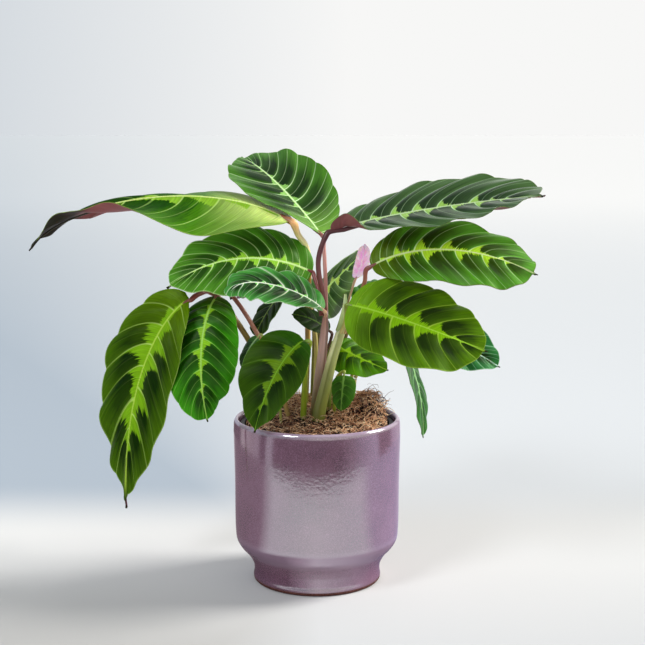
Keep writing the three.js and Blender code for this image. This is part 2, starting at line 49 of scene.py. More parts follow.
# ---------- driving dimensions, as in the CAD model ----------
POT_HEIGHT = 139
POT_RADIUS = 70
POT_WALL = 4.6
POT_FLOOR = 6
FOOT_RADIUS = 54
FOOT_RING = 3.0
SHOULDER_CREASE = 25
SHOULDER_TOP = 42

NURSERY_TOP = 134.5
NURSERY_LIP_RADIUS = 64.6
NURSERY_RADIUS = 61.8
NURSERY_BASE_RADIUS = 42
NURSERY_WALL = 1.3
NURSERY_LIP_BOTTOM = NURSERY_TOP - 8

MULCH_LEVEL = 130
MULCH_RADIUS = NURSERY_RADIUS - NURSERY_WALL - 0.4
STEM_BASE = 117

COLLAR_HALF_WIDTH = 1.6
DRIP_TIP_HALF_WIDTH = 0.5
DRIP_TIP_SHARE = 0.03  # of the blade's length
BASE_ROUNDNESS = 0.5
COLLAR_GAP = 0.5

# ---------- finer dimensions, in the scene alone ----------
BLADE_THICKNESS = 0.5
RIB_HALF_WIDTH = 0.85
RIB_RISE = 0.4
QUILT_ROUNDNESS = 0.65
QUILT_SUNK = 0.6       # how much of the quilt's height lies below the smooth blade, at the veins
SCALLOP_SHARE = 0.4    # of the quilt's height
JOINT_SWELL = 0.16     # how much thicker the joint below a blade is than its stalk
KEEL_SHARE = 0.85      # of the stalk's radius
KEEL_LEAST = 0.22
SHEATH_LAP = 0.5
GLOW_DEPTH = 1.5       # how deep light goes into leaves and stalks, in mm

# The side veins leave the midrib steeply and bend towards the tip. The mesh rows follow them.
VEIN_SWEEP = 0.96
VEIN_BEND = 1.7
VEIN_OFFSET = 0.45  # the veins of the left half start this share of a panel later

# ---------- the camera, where the photograph was taken ----------
CAMERA_PLACE = (4.7 * MM, -1083 * MM, 377.5 * MM)
CAMERA_TILT = math.radians(81.67)
CAMERA_LENS = 73.31  # mm, on a sensor 36 mm wide

bpy.ops.object.camera_add(location=CAMERA_PLACE, rotation=(CAMERA_TILT, 0, 0))
camera = bpy.context.object
camera.data.lens = CAMERA_LENS
camera.data.sensor_width = 36
bpy.context.scene.camera = camera


# ---------- small helpers ----------
def colour(hex_value):
    """An sRGB hex value as the linear colour that a socket holds."""
    channels = [int(hex_value[i:i + 2], 16) / 255 for i in (1, 3, 5)]
    linear = [c / 12.92 if c <= 0.04045 else ((c + 0.055) / 1.055) ** 2.4 for c in channels]
    return (*linear, 1.0)


def smooth(low, high, value):
    """0 below low, 1 above high, and an S-curve between them."""
    share = np.clip((value - low) / (high - low), 0, 1)
    return share * share * (3 - 2 * share)


def deselect():
    """Leave no object selected, the frame's own ones included."""
    bpy.ops.object.select_all(action="DESELECT")


def select(piece):
    """Make one object the selected and active one."""
    deselect()
    piece.select_set(True)
    bpy.context.view_layer.objects.active = piece


def shade(piece, degrees):
    """Smooth shading, with the edges over the angle left sharp."""
    select(piece)
    bpy.ops.object.shade_smooth_by_angle(angle=math.radians(degrees))


def wear(piece, materials):
    """Give a piece its materials, in the order of its faces' numbers."""
    for material in materials:
        piece.data.materials.append(material)


def finish_piece(piece, name, materials, slot, *nodes):
    """Name a piece, give it its materials, and set it on the body in place of its CAD nodes."""
    piece.name = name
    piece.data.name = name
    wear(piece, materials)
    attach(piece, "root")
    if nodes:
        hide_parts(*nodes)


# ---------- materials ----------
def plug(node, inputs):
    """Set or link a node's sockets. A hex string is a colour; a node stands for its first output in use."""
    for socket, value in inputs.items():
        if isinstance(value, str):
            value = colour(value)
        if isinstance(value, bpy.types.Node):
            value = next(output for output in value.outputs if output.enabled)
        if isinstance(value, bpy.types.NodeSocket):
            node.id_data.links.new(value, node.inputs[socket])
        else:
            node.inputs[socket].default_value = value


def add(tree, kind, inputs=None, stops=None, **settings):
    """Add a shader node with its settings, its sockets' values and links, and its colour ramp's stops."""
    made = tree.nodes.new("ShaderNode" + kind)
    for name, value in settings.items():
        setattr(made, name, value)
    if stops:
        elements = made.color_ramp.elements
        while len(elements) < len(stops):
            elements.new(1.0)
        for element, (place, value) in zip(elements, stops):
            element.position = place
            element.color = colour(value) if isinstance(value, str) else (value, value, value, 1)
    plug(made, inputs or {})
    return made


def new_material(name):
    """A material with an empty node tree, its Principled shader and its output."""
    material = bpy.data.materials.new(name)
    material.use_nodes = True
    tree = material.node_tree
    tree.nodes.clear()
    shader = add(tree, "BsdfPrincipled")
    add(tree, "OutputMaterial", {"Surface": shader})
    return material, tree, shader


def paint(tree, base, layers):
    """Lay tones over a base tone, one after another.

    A layer has its guide, the guide's values where the layer starts and where it is full, how much it
    covers where it is full, and its tone. Cover and tone may be nodes too.
    """
    for guide, start, full, cover, tone in layers:
        share = add(tree, "MapRange", {0: guide, 1: start, 2: full, 4: cover})
        base = add(tree, "Mix", {0: share, 6: base, 7: tone}, data_type="RGBA")
    return base


def stretched_noise(tree, place, scale, detail):
    """Noise with a scale of its own in each direction."""
    stretched = add(tree, "Mapping", {0: place, "Scale": scale})
    return add(tree, "TexNoise", {"Vector": stretched, "Scale": 1.0, "Detail": detail})


def map_values(tree, name):
    """The two values of a UV map."""
    return add(tree, "SeparateXYZ", {0: add(tree, "UVMap", uv_map=name)}).outputs[:2]


def blade_guides(tree):
    """What a blade's pattern follows on either side.

    The veins map holds the count of side veins passed and the way out from midrib to margin. The
    feather map holds that way as a share of the band's reach, and the way from base to tip. The rib map
    holds the distance from the midrib's middle, as a share of the midrib's own half width, and which half
    of the blade it is: 0 for the right one, 1 for the left one.
    """
    at = SimpleNamespace()
    at.veins = add(tree, "UVMap", uv_map="veins")
    at.phase, at.out = map_values(tree, "veins")
    at.reach_share, at.along = map_values(tree, "feather")
    at.from_vein = add(tree, "Math", {0: at.phase, 1: 0.5}, operation="PINGPONG")
    at.streaks = stretched_noise(tree, at.veins, (8, 1.2, 1), 3)
    return at


def band_guide(tree, leaf, at):
    """The band reaches far out along each vein and falls back in brush strokes before the next."""
    fill, least = leaf["fill"], leaf["least"]
    reach = add(tree, "ValToRGB", {0: at.panel_share},
                [(0.0, 1.0), (0.2 * fill, 0.78), (0.6 * fill, 0.45), (fill, max(0.17, least)),
                 (min(1.4 * fill, 0.95), least + 0.01), (1.0, least)])
    jagged = add(tree, "Math", {0: at.strokes, 1: 0.7, 2: reach}, operation="MULTIPLY_ADD")
    return add(tree, "Math", {0: jagged, 1: at.reach_share}, operation="SUBTRACT")


def paleness_and_relief_shade_guide(tree, leaf, at):
    """Panels are darkest in the middle, paler towards base, margin and veins, and finely streaked. Painted
    shade for the quilted relief makes each panel paler towards its next vein, so that it is darker just
    tipward of each vein.
    """
    streaked = add(tree, "Math", {0: at.streaks, 1: 0.5, 2: at.out}, operation="MULTIPLY_ADD")
    brushed = add(tree, "Math", {0: at.strokes, 1: 0.22, 2: at.along}, operation="MULTIPLY_ADD")
    dark_from = leaf["dark_from"] + 0.11
    total = 0.0
    # the first guide is painted shade: a panel gets paler towards its next vein, as light falls on its
    # quilted relief
    for guide, start, full, most in ((at.panel_share, 0.35, 1.0, leaf["painted_relief_shade"]),
                                     (at.from_vein, 0.16, 0.0, leaf["halo"]),
                                     (streaked, leaf["dark_to"] - 0.15, 1.25, 1.0),
                                     (brushed, dark_from + 0.015, dark_from - 0.015, 1.0)):
        share = add(tree, "MapRange", {0: guide, 1: start, 2: full, 4: most})
        total = add(tree, "Math", {0: share, 1: total}, operation="ADD")
    return total


def leaf_top_material(leaf):
    """The velvety upper side: dark panels between pale veins, and a feathered yellow-green band."""
    panel, outer, band, vein, rib = leaf["tones"]
    strength, tail = leaf["vein_strength"], leaf["tail"]
    material, tree, shader = new_material(f"velvet_leaf_{leaf['name']}")
    at = blade_guides(tree)
    at.panel_share = add(tree, "Math", {0: at.phase}, operation="FRACT")
    at.strokes = stretched_noise(tree, at.veins, (22, 2.5, 1), 2)
    from_rib, on_left = map_values(tree, "rib")

    # the base's tone may cover less of the left half, and the side veins fade outwards
    out_left = add(tree, "Math", {0: at.out, 1: on_left}, operation="MULTIPLY")
    base_cover = add(tree, "MapRange", {0: out_left, 1: 0.08, 2: 0.6, 3: 0.9, 4: 0.9 * leaf["base_out"]})
    fading = add(tree, "MapRange", {0: at.out, 1: 0.1, 2: 1.0, 3: strength, 4: 0.45 * strength})
    blade = paint(tree, panel, [
        (paleness_and_relief_shade_guide(tree, leaf, at), 0, 1, 1, outer),
        (at.along, leaf["base_to"], 0.04, base_cover, leaf["base"] or outer),
        (band_guide(tree, leaf, at), 0.31, 0.41, 1, band),
        *([(at.along, 0.5, 0.72, 0.92, leaf["far"])] if leaf["far"] else []),
        (at.from_vein, leaf["vein_width"], 0.008, fading, vein),
        (at.from_vein, 0.475, 0.495, leaf["fine_veins"], vein),
        (from_rib, 1.2, 0.7, 1, rib),
        (at.out, 0.975, 0.998, 0.4, leaf["edge"] or vein),
        (at.along, 1 - tail, 1 - 0.5 * tail, 1, leaf["tip"])])

    # fine parallel nerves: faint lines in the colour, drawn coarser than real ones, and a fine relief
    nerves = add(tree, "MapRange", {0: at.strokes, 1: 0.3, 2: 0.7, 3: 0.8, 4: 1.2})
    blade = add(tree, "HueSaturation", {"Value": nerves, "Color": blade})
    fine = stretched_noise(tree, at.veins, (40, 5, 1), 2)
    bump = add(tree, "Bump", {"Height": fine, "Strength": 0.3, "Distance": 0.4 * MM})
    plug(shader, {"Base Color": blade, "Normal": bump, "Roughness": 0.4, "Specular IOR Level": leaf["gloss"],
                  "Specular Tint": (0.8, 1.0, 0.55, 1.0), "Sheen Weight": leaf["sheen"],
                  "Sheen Roughness": 0.4, "Subsurface Weight": leaf["glow"],
                  "Subsurface Radius": (0.6, 1.0, 0.15), "Subsurface Scale": GLOW_DEPTH * MM})
    return material


def leaf_under_material(leaf):
    """The burgundy underside, satin, with raised paler veins."""
    material, tree, shader = new_material(f"burgundy_underside_{leaf['name']}")
    under, vein = leaf["under"], leaf["under_vein"]
    at = blade_guides(tree)
    dark = add(tree, "HueSaturation", {"Value": 0.7, "Color": under})
    pale = add(tree, "HueSaturation", {"Value": 1.25, "Saturation": 0.85, "Color": under})
    layers = [(at.streaks, 0, 1, 1, pale), (at.from_vein, 0.04, 0.01, 0.6, vein)]
    if leaf["under_ends"]:
        # on far_left the pale tone near the base is painted light: the glow of light shining through the
        # blade from behind
        low, high, low_tone, high_tone = leaf["under_ends"]
        layers += [(at.along, low, low - 0.03, 0.9, low_tone), (at.along, high, high + 0.04, 0.95, high_tone)]
    layers.append((at.out, 0.06, 0.02, 0.8, vein))
    base = paint(tree, dark, layers)
    height = add(tree, "MapRange", {0: at.from_vein, 1: 0.06, 2: 0.0})
    bump = add(tree, "Bump", {"Height": height, "Strength": 0.5, "Distance": 0.4 * MM})
    plug(shader, {"Base Color": base, "Normal": bump, "Roughness": 0.4, "Specular IOR Level": 0.25,
                  "Subsurface Weight": leaf["under_glow"], "Subsurface Radius": (1.0, 0.5, 0.4),
                  "Subsurface Scale": GLOW_DEPTH * MM})
    return material


def stalk_material(name, tones, side_tone=None, seam=0.0):
    """Smooth living stalk: its colour changes from soil to blade, with fine lengthwise fibres.

    A sheath has a darker side_tone on one side of its seam, which stands at that angle round the stem.
    """
    material, tree, shader = new_material(f"fleshy_stalk_{name}")
    grain = add(tree, "Attribute", attribute_name="grain").outputs["Vector"]
    along = add(tree, "SeparateXYZ", {0: grain}).outputs[2]
    places = [i / (len(tones) - 1) for i in range(len(tones))]
    base = add(tree, "ValToRGB", {0: along}, list(zip(places, tones)))
    fibres = stretched_noise(tree, grain, (2.4, 2.4, 1.2), 4)
    if side_tone:
        turned = math.radians(seam + 90)
        across = add(tree, "VectorMath", {0: grain, 1: (math.cos(turned), math.sin(turned), 0)},
                     operation="DOT_PRODUCT")
        base = paint(tree, base, [(across, -0.03, 0.06, 0.75, side_tone)])
    value = add(tree, "MapRange", {0: fibres, 1: 0.3, 2: 0.7, 3: 0.88, 4: 1.15})
    base = add(tree, "HueSaturation", {"Value": value, "Color": base})
    bump = add(tree, "Bump", {"Height": fibres, "Strength": 0.08, "Distance": 0.3 * MM})
    plug(shader, {"Base Color": base, "Normal": bump, "Roughness": 0.32, "Subsurface Weight": 0.25,
                  "Subsurface Radius": (1.0, 0.8, 0.3), "Subsurface Scale": GLOW_DEPTH * MM})
    return material


# ---------- the leaves ----------
# Shape, in mm and degrees. collar: where the stalk meets the blade. heading, swing, rise, fall, ease and
# hook: the midrib's direction, and how it turns towards the tip. roll: at base, middle and tip. cup: how
# far each half stands up (left base and tip, right base and tip), and fold where along the blade that
# changes. curl: how the left and right halves bend on outwards. halves: how wide they are. base_flip: how
# far the right base lobe stands up, and where that ends. quilt: how high the blade arches between two
# side veins. The rest of the shape is the CAD model's, except for base_flip and the wave of top.
# Look. tones: panel, outer part, feathered band, side veins and midrib. veins: side veins on each half.
# reach: how far out the band's spikes go. fill: the share of a panel that a spike takes. least: how far
# out the band goes between spikes. dark_from and dark_to: where the panels' dark part starts and ends.
# halo, and the painted relief shade: how much paler a panel gets at its veins, and how much paler towards
# its next vein, which paints shade just tipward of each vein as light falls on the quilted relief. base,
# base_to and base_out: the base's tone, how far it goes, and its share at the left margin. far: a tone for
# the tip's half. under_ends: where the underside changes tone near base and tip, and the two tones; on
# far_left the pale one near the base is painted light, the glow of light shining through from behind.
LEAF_DEFAULTS = dict(
    ease=1, hook=0, halves=(1, 1), fold=(0, 1), base_flip=(0, 1), small=False, tail=DRIP_TIP_SHARE,
    rib_half=RIB_HALF_WIDTH, fill=0.55, least=0.06, dark_from=0.0, dark_to=0.8, halo=0.5, painted_relief_shade=0.4,
    base=None, base_to=0.22, base_out=1.0, far=None, edge=None, tip="#2a2318", vein_strength=0.8,
    vein_width=0.035, fine_veins=0.3, gloss=0.2, sheen=0.0, glow=0.2, under="#70404e",
    under_vein="#8a5560", under_ends=None, under_glow=0.15)
# Part of how the tones differ from leaf to leaf is painted light: leaves that are lit more brightly, such as
# top, far_right, right_upper and left_mid, were given paler tones.
LEAVES = [
  dict(name="top", collar=(3, 24, 291), heading=135, swing=-19, rise=40, fall=8, ease=1.3, length=143,
    width=80, roll=(9, -13, -7), cup=(17, 4, 17, 10), curl=(-6, 6), taper=0.68, wave=1.5, waves=4,
    quilt=2.8, rib_half=1.0, tones=("#0e2c08", "#487e20", "#84b858", "#d8f4b8", "#c8e8a4"), veins=9,
    reach=0.2, fill=0.4, least=0.15, dark_to=0.95, halo=0.65, base="#6a9c34", edge="#6b8a1c",
    vein_strength=0.95, sheen=0.08),
  # far_left's very pale base tone, which runs out to the margin of its right half, and its underside's pale
  # tone near the base are partly its own colour and partly painted light: the glow of light shining through
  # the blade from behind.
  dict(name="far_left", collar=(-22, 8, 303), heading=155, swing=62, rise=30, fall=-24, ease=0.65, hook=-30,
    length=238, width=84, roll=(-34, -36, 90), cup=(10, -17, -44, 18), curl=(16, -5), taper=0.9,
    halves=(1.36, 0.82), fold=(0.33, 0.63), wave=2.0, waves=5, quilt=1.8, tail=0.05,
    tones=("#134200", "#3c7006", "#80ac2c", "#a8c86c", "#c8dc84"), veins=8, reach=0.22, fill=0.8,
    least=0.12, dark_from=0.37, base="#e4f88c", base_to=0.34, base_out=0.3, far="#16300c", edge="#a8b85c",
    gloss=0.06, glow=0.4, under="#94504e", under_vein="#7c5a48",
    under_ends=(0.57, 0.76, "#e4f0b0", "#101f08"), under_glow=0.4),
  dict(name="far_right", collar=(12, 0, 295), heading=0, swing=-32, rise=24, fall=6, ease=0.3, length=180,
    width=65, roll=(23, 43, 24), cup=(13, 7, 21, 19), curl=(-27, 2), taper=0.3, base_flip=(46, 0.1),
    wave=2.2, waves=5, quilt=2.8, tones=("#1c3418", "#4a6a3a", "#a0cc5c", "#c4e6b0", "#c8e0a8"), veins=11,
    reach=0.3, fill=0.4, edge="#5d6a20", vein_strength=0.9, sheen=0.35, under="#8a4a4c"),
  dict(name="right_upper", collar=(45, -10, 267), heading=-15, swing=-1, rise=34, fall=-26, ease=0.7,
    length=141, width=63, roll=(56, 40, 33), cup=(14, -7, 7, -2), curl=(-20, -25), taper=0.35, wave=2.0,
    waves=4, quilt=2.5, tones=("#284204", "#50901e", "#acd82c", "#d0f0a8", "#cce098"), veins=8, reach=0.46,
    fill=0.42, least=0.12, dark_to=0.95, halo=0.6, base="#566f06", edge="#7a4a3c"),
  dict(name="right_big", collar=(26, -25, 237), heading=-32, swing=13, rise=2, fall=-19, ease=0.3,
    length=123, width=79, roll=(49, 35, 42), cup=(13, -3, 10, -3), curl=(-15, -22), taper=0.5, wave=1.8,
    waves=4, quilt=3.0, tones=("#1a2e03", "#4c7204", "#80b40c", "#a4c444", "#a0d03c"), veins=8, reach=0.4,
    fill=0.6, least=0.25, dark_from=0.13, dark_to=1.0, painted_relief_shade=0.5, base="#74a41a", base_to=0.27,
    vein_strength=1.0, fine_veins=0.06, gloss=0.12),
  dict(name="left_mid", collar=(-4, 12, 260), heading=191, swing=4, rise=25, fall=-38, ease=1.1, length=129,
    width=66, roll=(-55, -44, -44), cup=(-3, 6, 6, 6), curl=(-28, -13), taper=0.65, wave=2.2, waves=4,
    quilt=2.8, tones=("#20480c", "#529224", "#94cc38", "#dcf8ac", "#d0f49c"), veins=9, reach=0.28, fill=0.5,
    least=0.2, dark_to=0.95, halo=0.75, vein_strength=0.9, fine_veins=0.4),
  dict(name="left_small", collar=(5, -18, 232), heading=180, swing=17, rise=52, fall=0, ease=0.5, hook=-120,
    length=90, width=44, roll=(-16, -35, -30), cup=(17, -7, 16, -2), curl=(-15, -9), taper=0.47,
    halves=(1, 0.76), wave=1.8, waves=5, quilt=2.8,
    tones=("#082a07", "#48983c", "#80dc62", "#f4fce0", "#f0fce0"), veins=9, reach=0.22, fill=0.4,
    dark_to=0.95, halo=0.6, vein_strength=1.0, vein_width=0.07, fine_veins=0.15, sheen=0.12),
  dict(name="hang_left", collar=(-106, -4, 238), heading=175, swing=-13, rise=-9, fall=-91, ease=0.3,
    length=196, width=68, roll=(-48, -68, -72), cup=(18, -15, 24, -13), curl=(-29, -14), taper=0.74,
    wave=2.4, waves=5, quilt=4.6, tail=0.06, tones=("#0d2800", "#446804", "#7cae14", "#b8d46c", "#acd048"),
    veins=10, reach=0.6, fill=0.7, least=0.34, dark_from=-0.03, dark_to=1.0, painted_relief_shade=0.3, base="#5c8002",
    base_to=0.3, vein_width=0.05, fine_veins=0.05, gloss=0.1),
  dict(name="hang_left_inner", collar=(-84, 8, 240), heading=244, swing=11, rise=-25, fall=-122, ease=0.7,
    length=117, width=58, roll=(-10, -21, -51), cup=(8, -3, -6, 6), curl=(-21, -29), taper=0.56, wave=1.6,
    waves=4, quilt=2.8, tones=("#144001", "#3c9608", "#8cc420", "#a4da64", "#a8dc60"), veins=9, reach=0.28,
    fill=0.5, least=0.2, dark_to=0.95, base="#3f6a0c"),
  dict(name="front_low", collar=(-10, -42, 210), heading=207, swing=1, rise=0, fall=-75, ease=0.3,
    length=86, width=58, roll=(-20, -29, -20), cup=(11, 8, 13, 6), curl=(5, 4), taper=0.82, wave=1.4,
    waves=3, quilt=2.2, rib_half=0.55, tones=("#0e2404", "#304e06", "#608410", "#587c28", "#74a42c"),
    veins=6, reach=0.5, fill=0.6, least=0.2, painted_relief_shade=0.3, base="#2c5a0c", edge="#4a7e14", fine_veins=0.1,
    gloss=0.08),
  dict(name="right_low", collar=(15, 24, 196), heading=-26, swing=2, rise=-24, fall=-16, length=53,
    width=39, roll=(49, 27, 42), cup=(-3, 8, -3, 9), curl=(-23, -21), taper=0.72, wave=1.0, waves=3,
    quilt=1.5, small=True, tones=("#224500", "#4e8a01", "#85bd04", "#82b418", "#94c42c"), veins=6,
    reach=0.35),
  dict(name="tiny_front", collar=(22.5, -11, 176), heading=258, swing=-9, rise=-61, fall=-81, ease=0.9,
    length=30, width=22, roll=(-3, 17, -1), cup=(6, 4, 0, 2), curl=(-13, -28), taper=0.65, wave=0.5,
    waves=2, quilt=0.8, small=True, tones=("#335c16", "#437e1a", "#5d922c", "#74a23e", "#80b04c"), veins=5,
    reach=0.3),
  dict(name="back_right", collar=(80, 15, 206), heading=-13, swing=-3, rise=-3, fall=-33, length=80,
    width=47, roll=(34, 43, 34), cup=(10, 8, 6, 7), curl=(3, -4), taper=0.6, wave=1.4, waves=3, quilt=1.4,
    small=True, tones=("#0d2a04", "#30803e", "#78dc94", "#d8ffe0", "#d8ffe0"), veins=8, reach=0.2),
  dict(name="hang_right", collar=(74, 30, 195), heading=3, swing=8, rise=-64, fall=-91, length=85, width=35,
    roll=(40, 43, 59), cup=(-9, 7, 12, 11), curl=(-30, 14), taper=0.77, wave=1.0, waves=3, quilt=1.5,
    small=True, tones=("#1f4a1c", "#327024", "#66a04a", "#8cb684", "#9cc48c"), veins=8, reach=0.2,
    edge="#6a4154"),
  dict(name="centre_back", collar=(-4, 30, 234), heading=54, swing=0, rise=23, fall=27, length=88, width=58,
    roll=(74, 80, 77), cup=(36, 26, -1, -15), curl=(22, -20), taper=0.9, halves=(0.8, 1), wave=1.4, waves=3,
    quilt=1.5, small=True, tones=("#143801", "#426418", "#98b448", "#9cc084", "#9cc468"), veins=7,
    reach=0.3),
  dict(name="back_left", collar=(-26, 24, 245), heading=192, swing=6, rise=-45, fall=-67, length=50,
    width=27, roll=(-22, -16, -34), cup=(6, 5, 0, 10), curl=(-5, -7), taper=0.5, wave=0.8, waves=3,
    quilt=1.2, small=True, tones=("#1c360e", "#305014", "#4c7424", "#a8d078", "#a8cc70"), veins=7,
    reach=0.1),
  dict(name="inner_dark", collar=(10, 14, 210), heading=183, swing=5, rise=41, fall=4, ease=1.2, length=35,
    width=23, roll=(-35, -34, -39), cup=(3, 6, 3, 9), curl=(-9, -6), taper=0.55, wave=0.6, waves=2,
    quilt=0.6, small=True, tones=("#101c0a", "#1c300e", "#2c4418", "#3c5824", "#486428"), veins=5,
    reach=0.1, gloss=0.05),
  # young_pink's pale pink tones are partly the young leaf's colour and partly painted light: the glow of
  # light shining through it from behind.
  dict(name="young_pink", collar=(33, 6, 256), heading=50, swing=3, rise=50, fall=85, ease=1.1, length=30,
    width=16, roll=(-7, -7, 7), cup=(6, 18, 14, 14), curl=(-29, -20), taper=0.57, wave=0.3, waves=2,
    quilt=0.3, small=True, tones=("#fca8e0", "#ffd4f2", "#ffe6fa", "#f4b8e4", "#fcd0ec"), veins=5,
    reach=0.2, tip="#c46aa0", glow=0.5, under="#cf80ae", under_vein="#e0a4c8", under_glow=0.5),
  dict(name="low_left_curl", collar=(-49, -5, 207), heading=194, swing=-2, rise=-45, fall=-77, length=29,
    width=13, roll=(-32, -23, -37), cup=(11, 9, 4, 9), curl=(1, -12), taper=0.64, wave=0.3, waves=2,
    quilt=0.6, small=True, tones=("#244c1c", "#3c6c2c", "#548038", "#84a86c", "#94b87c"), veins=5,
    reach=0.1),
  dict(name="rear_left", collar=(-8, 56, 228), heading=126, swing=10, rise=24, fall=-30, length=104,
    width=54, roll=(-12, -16, -12), cup=(10, 5, 10, 5), curl=(-12, -12), taper=0.6, wave=1.8, waves=4,
    quilt=2.0, small=True, tones=("#103606", "#2c6c0a", "#74b414", "#80b850", "#94c860"), veins=8,
    reach=0.4),
  dict(name="rear_right", collar=(38, 46, 226), heading=48, swing=6, rise=24, fall=-32, length=98, width=50,
    roll=(12, 14, 10), cup=(10, 5, 10, 5), curl=(-12, -12), taper=0.6, wave=1.8, waves=4, quilt=2.0,
    small=True, tones=("#103606", "#2a6c0a", "#74b414", "#80b850", "#94c860"), veins=8, reach=0.4),
]

# ---------- the stalks ----------
# points: from the lower end to just before the blade, in mm. Most are the CAD model's; the upper ends of
# far_left, far_right, hang_left, left_mid and left_small are routed a little differently. radii: at points
# spread evenly from the lower end to the blade. lead: how far before the blade the stalk has turned into
# its direction. tones: colours from the soil up to the blade.
STALKS = {
  "top": dict(tones=("#a87468", "#b88074", "#b87c74", "#9c5c54", "#7c4440", "#6b3f3c"), radii=(1.7, 1.6),
    points=((7.7, 0.6, 225.1), (7.4, 6, 245), (6.6, 14, 268), (5.8, 20, 283))),
  # far_left's near-white yellow tones below its blade are partly the stalk's colour and partly painted light:
  # the stalk lies in shade there but shows bright.
  "far_left": dict(tones=("#a0a848", "#b4a850", "#c09850", "#cca44c", "#fff0a0", "#fff4b0", "#f8c080",
    "#8a5034", "#33301a", "#33301a"), radii=(2.3, 2.4, 2.9), lead=3,
    points=((-11, 24, STEM_BASE), (-9, 28, 165), (-8, 32, 200), (-8, 35, 230), (-7, 36, 256),
    (-7.5, 31, 272), (-10, 26, 281.5), (-15.8, 17, 291))),
  "far_right": dict(tones=("#7c4438", "#6d3a34", "#5c2e30", "#54282c", "#5a2c30", "#6c383a"),
    radii=(2.2, 2.1), lead=3,
    points=((7.3, -3.4, 225.1), (4.6, -3.6, 245), (1.6, -3, 261), (1.4, -2.2, 272), (4.6, -1.2, 284.5))),
  "right_upper": dict(tones=("#c0a060", "#a8784c", "#8c4c3c", "#7c4038", "#6e4038"), radii=(2.0, 1.7),
    points=((22.6, -3.6, 210.7), (27.5, -5, 222), (34, -8, 239), (39.4, -9.2, 254))),
  "right_big": dict(tones=("#c0b06c", "#a4a450", "#8a9a3c", "#6c8c24", "#5c7c1c"), radii=(1.9, 1.3), lead=2,
    points=((20.2, -7.7, 211.5), (22.5, -10, 217), (24, -14, 226), (24.2, -20, 233.5))),
  "left_mid": dict(tones=("#8c4a44", "#84403c", "#7c3c38", "#6e3a3a"), radii=(1.7, 1.7), lead=0.8,
    points=((3.4, -4, 225.1), (2.8, -1, 236), (1.0, 4.5, 247), (-1.6, 9.5, 254.5))),
  "left_small": dict(tones=("#cc9c78", "#d8ac88", "#c8a078", "#a8886c"), radii=(1.4, 1.4), lead=1.5,
    points=((7.1, -7.5, 225.1), (7.4, -10, 228), (7.0, -14.5, 229.6))),
  "hang_left": dict(tones=("#7c8c30", "#98a040", "#b0944c", "#a0604c", "#8c4a40", "#7c5038", "#6c6838"),
    radii=(2.9, 1.8), lead=1.5,
    points=((-27, 27, STEM_BASE), (-32, 25, 140), (-42, 20, 168), (-54, 18, 194), (-68, 19, 217),
    (-81, 20, 235), (-91, 14.5, 243), (-97, 5, 242.8), (-101.5, -1, 240.8))),
  "hang_left_inner": dict(tones=("#8c8c3c", "#b08c5c", "#a86c58", "#a06452", "#94604c", "#6c6c3c"),
    radii=(2.3, 1.6),
    points=((-21, 12, STEM_BASE), (-25, 10, 140), (-34, 6, 170), (-47, 4, 203), (-66, 8, 234),
    (-75, 12, 242.5))),
  "front_low": dict(tones=("#7c9c20", "#9cb430", "#a8bc3c", "#6c8c28", "#28480c", "#2c4a10"),
    radii=(2.9, 1.1), lead=2,
    points=((-12, 5, STEM_BASE), (-11.2, 3, 145), (-10, -4, 170), (-8, -18, 194), (-5.4, -32, 207.5))),
  "right_low": dict(tones=("#8aa02c", "#8aa838", "#84a83c"), radii=(2.3, 1.6),
    points=((9.5, 16, STEM_BASE), (10, 17, 145), (11, 21, 168), (9, 26, 187))),
  "tiny_front": dict(tones=("#b4c43c", "#a4b444", "#8ca040", "#587c30"), radii=(1.6, 0.9),
    points=((14.6, 9, STEM_BASE), (14.6, 8, 145), (14.6, 6, 161), (16.8, 2, 172), (20.6, -4, 177.5))),
  "back_right": dict(tones=("#c2be72", "#a8a45c", "#8f8a50"), radii=(1.7, 1.5),
    points=((32.8, 25.8, 167.1), (43, 34, 188), (57, 31, 201), (68, 22, 206))),
  "hang_right": dict(tones=("#b9b56a", "#9a8658", "#8a6a58"), radii=(1.6, 1.3),
    points=((29.6, 30.4, 166.9), (39, 41, 187), (55, 42, 201), (67, 36, 204.5))),
  "centre_back": dict(tones=("#a8b048", "#ccc46c", "#c8a468", "#a87050", "#7c6038"), radii=(1.8, 1.6),
    points=((-3, 29, STEM_BASE), (-1.5, 28.5, 165), (-1, 28, 200), (-4, 27, 220))),
  "back_left": dict(tones=("#8a9440", "#7c6a40", "#74543e"), radii=(1.5, 1.2),
    points=((-6, 36, STEM_BASE), (-4, 38, 165), (-3, 40, 205), (-5, 42, 230), (-13, 40, 247),
    (-19, 31, 252))),
  "inner_dark": dict(tones=("#5c3a2c", "#4e3226", "#5a4a30"), radii=(1.4, 1.1),
    points=((4.6, 23, STEM_BASE), (5.2, 21, 165), (7, 16, 188), (11.5, 13.2, 202))),
  "young_pink": dict(tones=("#a9a860", "#b08a70", "#b87a88"), radii=(1.0, 0.9),
    points=((20.9, 0.9, 211.2), (23.5, 1.8, 224), (27.3, 2.2, 240))),
  "low_left_curl": dict(tones=("#96a24a", "#9aa04e", "#8a8450"), radii=(1.2, 1.0),
    points=((-29, -1, STEM_BASE), (-32, -3, 155), (-39, -6, 186), (-43.5, -6, 205))),
  "rear_left": dict(tones=("#8c9440", "#866a44", "#7a503e"), radii=(1.9, 1.6),
    points=((3, 43, STEM_BASE), (3, 46, 165), (1, 50, 205))),
  "rear_right": dict(tones=("#8c9440", "#866a44", "#7a503e"), radii=(1.9, 1.6),
    points=((18, 38, STEM_BASE), (20, 38.5, 165), (26, 40.5, 205))),
}

